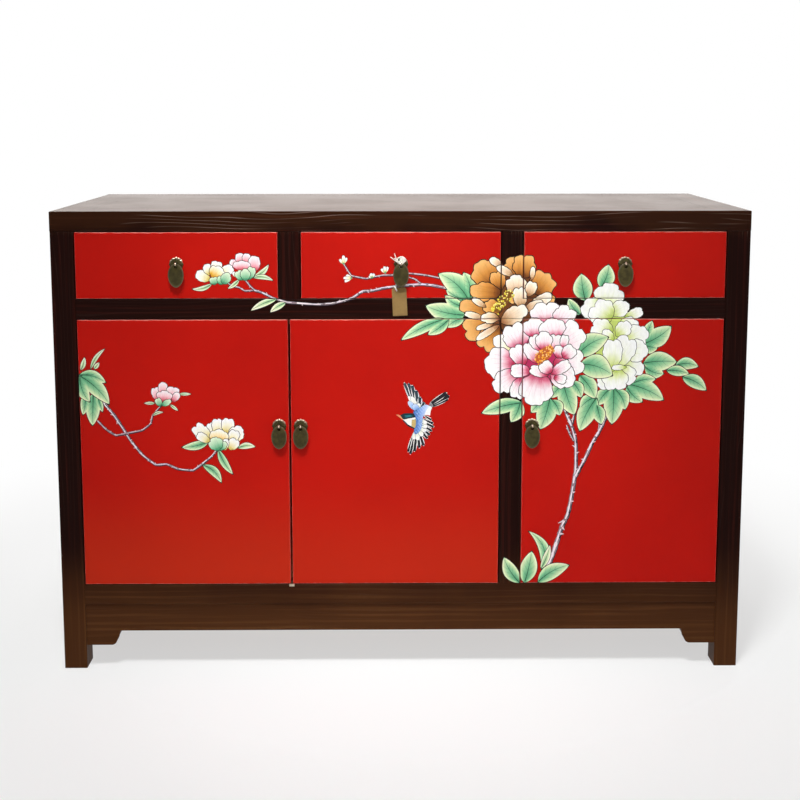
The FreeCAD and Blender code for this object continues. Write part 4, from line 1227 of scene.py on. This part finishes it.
class LeafLobe:
    """One lobe of a leaf, measured along its bent spine."""

    def __init__(self, base_x, base_z, tip_x, tip_z, width, bend):
        self.base = np.array((base_x, base_z), dtype=float)
        self.along = np.array((tip_x, tip_z)) - self.base
        self.length = np.hypot(*self.along)
        self.across = np.array((-self.along[1], self.along[0])) / self.length
        self.width = width
        self.bend = bend

    def half(self, share):
        return self.width / 2 * np.sin(math.pi * np.clip(share, 0, 1) ** 0.88) ** 0.74

    def point(self, share, side, margin=0.0):
        share = np.asarray(share, dtype=float)
        sway = self.bend * self.length * 4 * share * (1 - share)
        middle = self.base + self.along * share[:, None] + self.across * sway[:, None]
        return middle + self.across * ((self.half(share) + margin) * side)[:, None]

    def paleness(self, places):
        """How far places lie from the lobe's green heart."""
        reach = (places - self.base) @ self.along / self.length ** 2
        share = np.clip(reach, 0.001, 0.999)
        middle = self.point(share, np.zeros(len(share)))
        side = np.abs((places - middle) @ self.across) / (self.half(share) + 0.01)
        beyond = np.maximum(-reach, 0) + np.maximum(reach - 1, 0)
        return 0.72 * np.minimum(side, 3) ** 1.7 + 0.55 * share ** 1.4 + 3 * beyond


def leaf(painting, rows):
    """A leaf of one or more lobes: ink round them all, graded bodies, dark midribs and side veins."""
    lobes = [LeafLobe(*row) for row in rows]
    large = lobes[-1].width > 12
    ink = 1.25 if large else 0.9

    def body(places):
        paleness = np.min([lobe.paleness(places) for lobe in lobes], axis=0)
        return graded(paleness, LEAF_TONES if large else SMALL_LEAF_TONES, (0.03, 0.27, 0.60, 0.95))

    for lobe in lobes:
        shares = np.linspace(-ink / lobe.length, 1 + 1.4 * ink / lobe.length, 19)
        sides = np.ones(19)
        around = [lobe.point(shares, -sides, ink), lobe.point(shares, sides, ink)[::-1]]
        lay(painting, np.concatenate(around), flat(LEAF_LINES["ink"]))
    for lobe in lobes:
        shares = np.linspace(0, 1, 17)
        ones = np.ones(17)
        inner = [lobe.point(shares[1:-1], ones[1:-1] * side) for side in (-0.84, -0.45, 0.0, 0.45, 0.84)]
        outline = np.concatenate([lobe.point(shares, -ones), lobe.point(shares[1:-1], ones[1:-1])[::-1]])
        lay(painting, outline, body, np.concatenate(inner))
    for lobe in lobes:
        rib = lobe.point(np.linspace(0.03, 0.92, 9), np.zeros(9))
        ribbon(painting, rib, min(1.4, lobe.width * 0.055 + 0.35), 0.35, flat(LEAF_LINES["rib"]))
        if lobe.width > 13:
            for start in (0.2, 0.38, 0.56):
                for side in (-1, 1):
                    shares = np.array((start, start + 0.11, start + 0.2))
                    vein = lobe.point(shares, np.array((0.0, 0.4, 0.74)) * side)
                    ribbon(painting, vein, 0.5, 0.2, flat(LEAF_LINES["vein"]))


def petal(painting, seed, tone, base_x, base_z, tip_x, tip_z, width, lobes=1):
    """A petal or feather: ink, a lobed body graded to a pale edge, then fine streaks or a dark heart."""
    chance = np.random.default_rng(seed)
    base = np.array((base_x, base_z), dtype=float)
    along = np.array((tip_x, tip_z)) - base
    length = np.hypot(*along)
    along /= length
    across = np.array((-along[1], along[0]))
    middle = base + along * length * 0.54
    colours = PETAL_TONES[tone]
    stops = TONE_PLACES.get(tone, (0.10, 0.32, 0.56, 0.92))
    waves_at = chance.uniform(0, TURN, 3)

    def rim(angles, scale=1.0):
        ahead = np.cos(angles)
        front = ahead > 0
        reach = np.where(front, length * 0.46, length * 0.54)
        power = np.where(front, 2.5, 1.7)
        shape = (np.abs(ahead) / reach) ** power + (np.abs(np.sin(angles)) / (width / 2)) ** power
        radius = shape ** (-1 / power)
        weight = np.clip((ahead + 0.35) / 0.9, 0, 1)
        turned = (angles + math.pi) % TURN - math.pi
        phase = 0 if lobes % 2 else math.pi / 2
        notch = 1 - np.abs(np.cos(turned * (lobes + 0.5) * 0.55 + phase)) ** 0.55
        radius *= 1 - (0.27 if lobes > 1 else 0.05) * notch * weight
        wobble = 0.030 * np.sin(angles * 7 + waves_at[0]) + 0.022 * np.sin(angles * 12 + waves_at[1])
        radius *= (1 + wobble) * scale
        return middle + along * (radius * ahead)[:, None] + across * (radius * np.sin(angles))[:, None]

    def colour(places):
        away = places - base
        ahead = away @ along / length
        side = away @ across / (width / 2)
        streak = 0.05 * np.sin(side * 13 + waves_at[2]) * (1 - np.clip(ahead, 0, 1))
        return graded(ahead + 0.16 * side ** 2 + streak, colours[:4], stops)

    angles = turns(40)
    body = rim(angles)
    ink = PETAL_INKS.get(tone, 1.0) if max(length, width) > 14 else 0.6
    lay(painting, grown(body, middle, ink), flat(colours[4]))
    rings = [rim(angles[::2], 0.86), rim(angles[1::2], 0.62), rim(angles[::4], 0.32)]
    lay(painting, body, colour, np.concatenate(rings + [middle[None]]))
    if tone in FEATHER_HEARTS:
        heart, start_share, end_share = FEATHER_HEARTS[tone]
        spine = base + along * (length * np.linspace(0.16, 0.965, 6))[:, None]
        ribbon(painting, spine, width * start_share, width * end_share, flat(heart))
    elif max(length, width) >= 14:
        fine = even((linear([colours[1]]) * 0.65 + linear([colours[2]]) * 0.35)[0])
        for side in np.linspace(-0.7, 0.7, 5) + chance.uniform(-0.06, 0.06, 5):
            shares = np.array((0.22, 0.5, chance.uniform(0.66, 0.82)))
            spread = side * width / 2 * np.array((0.35, 0.7, 0.9))
            line = base + along * (length * shares)[:, None] + across * spread[:, None]
            ribbon(painting, line, 0.42, 0.16, fine)


def petals(painting, runs, seed):
    """Lay runs of petals, each run in one tone and each petal with a seed of its own."""
    rows = [(tone, *row) for tone, run in runs for row in run]
    for number, row in enumerate(rows):
        petal(painting, seed + number, *row)


def stamens(painting, start, end, breadth, light, dark, seed):
    """A cluster of stamens: a dark bed, short threads and pale heads with specks."""
    chance = np.random.default_rng(seed)
    start, end = np.array(start, dtype=float), np.array(end, dtype=float)
    along = end - start
    across = np.array((-along[1], along[0])) / np.hypot(*along)
    bed = [
        (start + end) / 2 + along * 0.56 * math.cos(angle) + across * breadth * 0.5 * math.sin(angle)
        for angle in turns(20)
    ]
    lay(painting, bed, flat(dark))
    pale = [round(value + (255 - value) * 0.35) for value in light]
    for number in range(54):
        place = start + along * chance.uniform(-0.08, 1.08) + across * breadth * chance.uniform(-0.5, 0.5)
        lean = np.array((chance.uniform(-1.6, 1.6), chance.uniform(1.2, 3.4)))
        ribbon(painting, [place - lean, place - lean / 2, place], 0.8, 0.7, flat(light))
        dot(painting, place, chance.uniform(1.2, 1.8), light if number % 2 else pale)
        if number % 3 == 0:
            dot(painting, place + (0.9, -1.3), 0.6, STAMEN_SPECK, 5)


def bird(painting):
    """A small bird in flight: far wing, tail, head, breast, near wing, and a back with short strokes."""
    petals(painting, FEATHERS["far"], SEEDS["far"])
    for colour, corners in BIRD_SHAPES:
        corners = np.array(corners)
        lay(painting, grown(corners, corners.mean(axis=0), 0.5), flat(BIRD_TONES["ink"]))
        lay(painting, corners, flat(colour))
    petals(painting, FEATHERS["near"], SEEDS["near"])
    back = curved(BIRD_BACK + BIRD_BACK[:1], 3)[:-1]
    lay(painting, grown(back, back.mean(axis=0), 0.4), flat(BIRD_TONES["back ink"]))

    def blue(places):
        share = (places[:, 0] - 22) / 34 + 0.12 * np.sin(places[:, 0] * 1.3 + places[:, 1] * 0.9)
        return graded(share, BIRD_BLUES, (0.05, 0.3, 0.6, 0.95))

    grid = [(x, z) for x in np.arange(24, 54, 3) for z in np.arange(428, 479, 3)]
    lay(painting, back, blue, grid)
    lay(painting, BIRD_RUMP, flat(BIRD_TONES["rump"]))
    for number in range(26):
        x = 26 + 18 * ((number * 0.618) % 1)
        z = 431 + 42 * ((number * 0.377) % 1)
        stroke = BIRD_TONES["dark stroke" if number % 3 else "pale stroke"]
        ribbon(painting, [(x - 1.4, z), (x, z - 0.9), (x + 1.4, z)], 0.55, 0.45, flat(stroke))
    dot(painting, BIRD_EYE, 0.9, BIRD_TONES["eye"])


def peony(painting, flower):
    """A peony's petals over a bed of its own colour."""
    middle, radii, tone = PEONY_BEDS[flower]
    lay(painting, ellipse(middle, radii, 40), flat(tone))
    petals(painting, PEONIES[flower], SEEDS[flower])


def whole_painting():
    """Every patch of the ornament in the order it is laid on."""
    painting = []
    for number, (start_width, end_width, points) in enumerate(BRANCHES):
        branch(painting, start_width, end_width, points, number)
    for rows in LEAVES["behind"]:
        leaf(painting, rows)
    peony(painting, "green_white")
    for rows in LEAVES["between"]:
        leaf(painting, rows)
    peony(painting, "amber")
    stamens(painting, *STAMENS["amber"])
    peony(painting, "pink")
    stamens(painting, *STAMENS["pink"])
    petals(painting, PEONIES["pink_bowl"], SEEDS["pink_bowl"])
    for (x, z), tips in BUDS:
        for across, up in tips:
            petal(painting, SEEDS["buds"], "ivory", x, z, x + across, z + up, BUD_WIDTH)
        dot(painting, (x, z), 1.8, CALYX_TONE, 9)
    petals(painting, BLOSSOMS, SEEDS["blossoms"])
    bird(painting)
    return painting


def inside(outline, places):
    """Which places lie inside an outline."""
    x, z = places[:, 0:1], places[:, 1:2]
    x0, z0 = outline[:, 0], outline[:, 1]
    x1, z1 = np.roll(x0, -1), np.roll(z0, -1)
    spans = (z0 > z) != (z1 > z)
    with np.errstate(divide="ignore", invalid="ignore"):
        crossing = x0 + (z - z0) * (x1 - x0) / (z1 - z0)
    return (np.sum(spans & (x < crossing), axis=1) % 2).astype(bool)


def painted_faces():
    """Each face that carries paint: node, body, slot (not used), low and high corner, and its eased sides."""
    faces = []
    for node, body in zip(LACQUERED, PULLS):
        low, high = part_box(node)
        faces.append((node, body, "red_lacquer", (low.x, low.z), (high.x, high.z), (0, 1, 2, 3)))
    rail_low, rail_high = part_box("mid_rail_front")
    mullion_low, mullion_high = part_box("mullion")
    first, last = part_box("door_left")[0].x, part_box("door_right")[1].x
    bottom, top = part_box("bottom_rail_front")[1].z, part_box("top_rail_front")[0].z
    for node, left, low, right, high, eased in (
        ("mid_rail_front", first, rail_low.z, last, rail_high.z, (1, 3)),
        ("mullion", mullion_low.x, bottom, mullion_high.x, rail_low.z, (0, 2)),
        ("drawer_dividers", mullion_low.x, rail_high.z, mullion_high.x, top, (0, 2)),
    ):
        faces.append((node, "cabinet", "dark_elm", (left, low), (right, high), eased))
    return faces


# Outline points closer than this, in mm, become one
MERGE_REACH = 0.0005


def paint_film(painting, node, body, slot, low, high, eased, ornament):
    """The paint on one face: a thin film over its eased sides, of 0 left, 1 bottom, 2 right and 3 top."""
    low, high = np.array(low) / MM, np.array(high) / MM
    radius, lift, bare = ornament.round_over / MM, ornament.lift / MM, ornament.edge_gap / MM
    borders = [((0, low, 1), (1, low, 1), (0, high, -1), (1, high, -1))[side] for side in eased]
    margins = np.array([bare if side in eased else 0.0 for side in range(4)])
    inner_low, inner_high = low + margins[:2], high - margins[2:]
    points, edges, used = [], [], []

    def loop(outline):
        first = len(points)
        points.extend(Vector(place) for place in outline)
        edges.extend((first + n, first + (n + 1) % len(outline)) for n in range(len(outline)))

    for outline, inner, colour in painting:
        if np.all(outline.max(axis=0) > inner_low) and np.all(outline.min(axis=0) < inner_high):
            used.append((outline, colour))
            loop(outline)
            points.extend(Vector(place) for place in inner)
    if not used:
        return
    loop([inner_low, (inner_high[0], inner_low[1]), inner_high, (inner_low[0], inner_high[1])])
    for depth in (bare, radius * 0.33, radius * 0.63, radius):
        for axis, edge, way in borders:
            line = [inner_low.copy(), inner_high.copy()]
            for end in line:
                end[axis] = edge[axis] + way * depth
            edges.append((len(points), len(points) + 1))
            points.extend(Vector(end) for end in line)
    verts, _, faces = geometry.delaunay_2d_cdt(points, edges, [], 0, MERGE_REACH, False)[:3]
    verts = np.array([tuple(vert) for vert in verts])
    faces = np.array(faces)
    centres = verts[faces].mean(axis=1)
    owner = np.full(len(faces), -1)
    kept = np.all((centres > inner_low) & (centres < inner_high), axis=1)
    for number, (outline, _) in enumerate(used):
        near = kept & np.all((centres > outline.min(axis=0)) & (centres < outline.max(axis=0)), axis=1)
        places = np.nonzero(near)[0]
        if len(places):
            owner[places[inside(outline, centres[places])]] = number
    shown = owner >= 0
    faces, owner = faces[shown], owner[shown]
    corners_at = verts[faces]
    turned = np.cross(corners_at[:, 1] - corners_at[:, 0], corners_at[:, 2] - corners_at[:, 0])
    faces[turned < 0] = faces[turned < 0][:, ::-1]
    corners_at = verts[faces]
    pigment = np.ones((len(faces), 3, 4))
    for number, (_, colour) in enumerate(used):
        own = np.nonzero(owner == number)[0]
        if len(own):
            pigment[own, :, :3] = colour(corners_at[own].reshape(-1, 2)).reshape(-1, 3, 3)
    numbers, flat_faces = np.unique(faces, return_inverse=True)
    verts, faces = verts[numbers], flat_faces.reshape(-1, 3)
    depths = np.full(len(verts), radius)
    for axis, edge, way in borders:
        depths = np.minimum(depths, (verts[:, axis] - edge[axis]) * way)
    depths = np.clip(depths, 0, radius)
    fall = radius - np.sqrt(radius ** 2 - (radius - depths) ** 2)
    placed = np.stack([verts[:, 0] * MM, front_y + (fall - lift) * MM, verts[:, 1] * MM], axis=1)
    mesh = bpy.data.meshes.new("paint_" + node)
    mesh.from_pydata(placed.tolist(), [], faces.tolist())
    mesh.attributes.new("pigment", "FLOAT_COLOR", "CORNER").data.foreach_set("color", pigment.ravel())
    flat_map = (verts - low) / max(high - low)
    mesh.uv_layers.new(name="OFBake").data.foreach_set("uv", flat_map[faces].ravel())
    mesh.materials.append(bpy.data.materials["ornament_paint"])
    mesh.shade_smooth()
    film = new_object("paint_" + node, mesh)
    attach(film, body)


class CABINET_OT_ornament(bpy.types.Operator):
    """Paint the peonies, twigs and bird across the fronts"""

    bl_idname = "cabinet.ornament"
    bl_label = "Paint the ornament"

    def execute(self, context):
        painting = whole_painting()
        for face in painted_faces():
            paint_film(painting, *face, context.scene.cabinet_ornament)
        return {"FINISHED"}


# The camera as fitted to the cabinet's corners in the photograph. Angles are yaw, pitch and roll, in degrees
CAMERA_PLACE = Vector((-17 * MM, front_y - 2042 * MM, 984 * MM))
CAMERA_ANGLES = (0.43, 6.98, 0.035)
image_width = 800.0
focal_pixels = 1200.0
level_row = 259.4


class CABINET_OT_camera(bpy.types.Operator):
    """Set up the camera as the photograph was taken"""

    bl_idname = "cabinet.camera"
    bl_label = "Set up the camera"

    def execute(self, context):
        yaw, pitch, roll = (math.radians(angle) for angle in CAMERA_ANGLES)
        ahead = Vector((math.sin(yaw) * math.cos(pitch), math.cos(yaw) * math.cos(pitch), -math.sin(pitch)))
        right = Vector((math.cos(yaw), -math.sin(yaw), 0))
        down = ahead.cross(right)
        rolled_right = right * math.cos(roll) + down * math.sin(roll)
        rolled_down = down * math.cos(roll) - right * math.sin(roll)
        data = bpy.data.cameras.new("camera")
        data.sensor_fit = "HORIZONTAL"
        data.sensor_width = 36.0
        data.lens = data.sensor_width * focal_pixels / image_width
        data.shift_y = (level_row - image_width / 2) / image_width
        camera = new_object("camera", data)
        turn = Matrix((rolled_right, -rolled_down, -ahead)).transposed().to_4x4()
        camera.matrix_world = Matrix.Translation(CAMERA_PLACE) @ turn
        context.scene.camera = camera
        return {"FINISHED"}


# What the lamps point at, and the place, width, height, spread and colour of each
LAMP_AIM = Vector((0, 0, 0.42))
LAMPS = {
    "key": ((-0.30, -1.45, 3.3), 0.6, 0.6, math.radians(36), (1, 1, 1)),
    "fill": ((0.4, -2.8, 1.4), 1.8, 1.8, math.pi, (1, 1, 1)),
    "top": ((0.2, 0.3, 2.8), 1.6, 1.6, math.pi, (1, 1, 1)),
    "rear": ((0, 3.2, 1.5), 5.0, 1.6, math.pi, (1.0, 0.92, 0.86)),
}


def soft_lamp(name, power, place, width, height, spread, colour):
    """A soft lamp that points at the cabinet."""
    lamp = bpy.data.lights.new(name, "AREA")
    lamp.shape = "RECTANGLE"
    lamp.size = width
    lamp.size_y = height
    lamp.energy = power
    lamp.spread = spread
    lamp.color = colour
    holder = new_object(name, lamp)
    holder.location = place
    holder.rotation_euler = (LAMP_AIM - Vector(place)).to_track_quat("-Z", "Y").to_euler()


def make_sky(context, strength):
    """Even light all round, white to the camera, with a darker front for mirrored rays."""
    world = bpy.data.worlds.new("sky")
    world.use_nodes = True
    tree = world.node_tree
    tree.nodes.clear()
    seen = add(tree, "LightPath")
    ahead = add(tree, "SeparateXYZ", {0: add(tree, "TexCoord")["Generated"]})["Y"]
    mirrored = calc(tree, "MULTIPLY", seen["Is Glossy Ray"], smooth(tree, ahead, -0.3, 0.5, 0.25, 1.0))
    shown = calc(tree, "MAXIMUM", seen["Is Camera Ray"], seen["Is Transmission Ray"])
    shown = calc(tree, "MAXIMUM", shown, mirrored)
    power = add(tree, "Mix", {0: shown, 2: strength, 3: 1.0})[0]
    light = add(tree, "Background", {"Color": (1, 1, 1, 1), "Strength": power})[0]
    output = tree.nodes.new("ShaderNodeOutputWorld")
    tree.links.new(light, output.inputs[0])
    context.scene.world = world


def floor_material(colour):
    """A matt pale floor. To the camera and in reflections it fades to white away from the cabinet."""
    tree, _, place = new_material("floor", {
        "Base Color": full(colour), "Roughness": 0.9, "Specular IOR Level": 0.0,
    })
    away = add(tree, "VectorMath", {0: place}, operation="LENGTH")["Value"]
    paler = smooth(tree, away, 0.65, 1.5, 0.55, 1.0)
    seen = add(tree, "LightPath")
    share = calc(tree, "MAXIMUM", seen["Is Camera Ray"], seen["Is Glossy Ray"])
    share = calc(tree, "MULTIPLY", share, paler)
    white = add(tree, "Emission", {"Color": (1, 1, 1, 1), "Strength": 1.0})[0]
    output = next(node for node in tree.nodes if node.type == "OUTPUT_MATERIAL").inputs[0]
    lit = output.links[0].from_socket
    tree.links.new(add(tree, "MixShader", {0: share, 1: lit, 2: white})[0], output)


class CABINET_OT_stage(bpy.types.Operator):
    """Make the pale floor, the soft lamps and the sky"""

    bl_idname = "cabinet.stage"
    bl_label = "Make the stage"

    def execute(self, context):
        stage = context.scene.cabinet_stage
        bm = bmesh.new()
        bmesh.ops.create_grid(bm, x_segments=8, y_segments=8, size=9.0)
        mesh = bpy.data.meshes.new("floor")
        bm.to_mesh(mesh)
        bm.free()
        floor_material(stage.floor)
        mesh.materials.append(bpy.data.materials["floor"])
        new_object("floor", mesh)
        for name, row in LAMPS.items():
            soft_lamp(name, getattr(stage, name), *row)
        make_sky(context, stage.sky)
        context.scene.view_settings.view_transform = "Standard"
        return {"FINISHED"}


class CABINET_PT_panel(bpy.types.Panel):
    """Lists the steps that dress the cabinet"""

    bl_idname = "CABINET_PT_panel"
    bl_label = "Side cabinet"
    bl_space_type = "VIEW_3D"
    bl_region_type = "UI"
    bl_category = "Cabinet"

    def draw(self, context):
        for step in STEPS:
            self.layout.operator(step.bl_idname)


STEPS = (
    CABINET_OT_camera,
    CABINET_OT_stage,
    CABINET_OT_finishes,
    CABINET_OT_pulls,
    CABINET_OT_tag,
    CABINET_OT_ornament,
)
SETTINGS = {
    "cabinet_finish": FinishSettings,
    "cabinet_ornament": OrnamentSettings,
    "cabinet_pulls": PullSettings,
    "cabinet_stage": StageSettings,
}


def register():
    for group in SETTINGS.values():
        bpy.utils.register_class(group)
    for name, group in SETTINGS.items():
        setattr(bpy.types.Scene, name, bpy.props.PointerProperty(type=group))
    for step in STEPS + (CABINET_PT_panel,):
        bpy.utils.register_class(step)


def unregister():
    for step in reversed(STEPS + (CABINET_PT_panel,)):
        bpy.utils.unregister_class(step)
    for name in SETTINGS:
        delattr(bpy.types.Scene, name)
    for group in reversed(list(SETTINGS.values())):
        bpy.utils.unregister_class(group)


def main():
    register()
    bpy.ops.cabinet.camera()
    bpy.ops.cabinet.stage()
    bpy.ops.cabinet.finishes()
    bpy.ops.cabinet.pulls()
    bpy.ops.cabinet.tag()
    bpy.ops.cabinet.ornament()


if __name__ == "__main__":
    main()
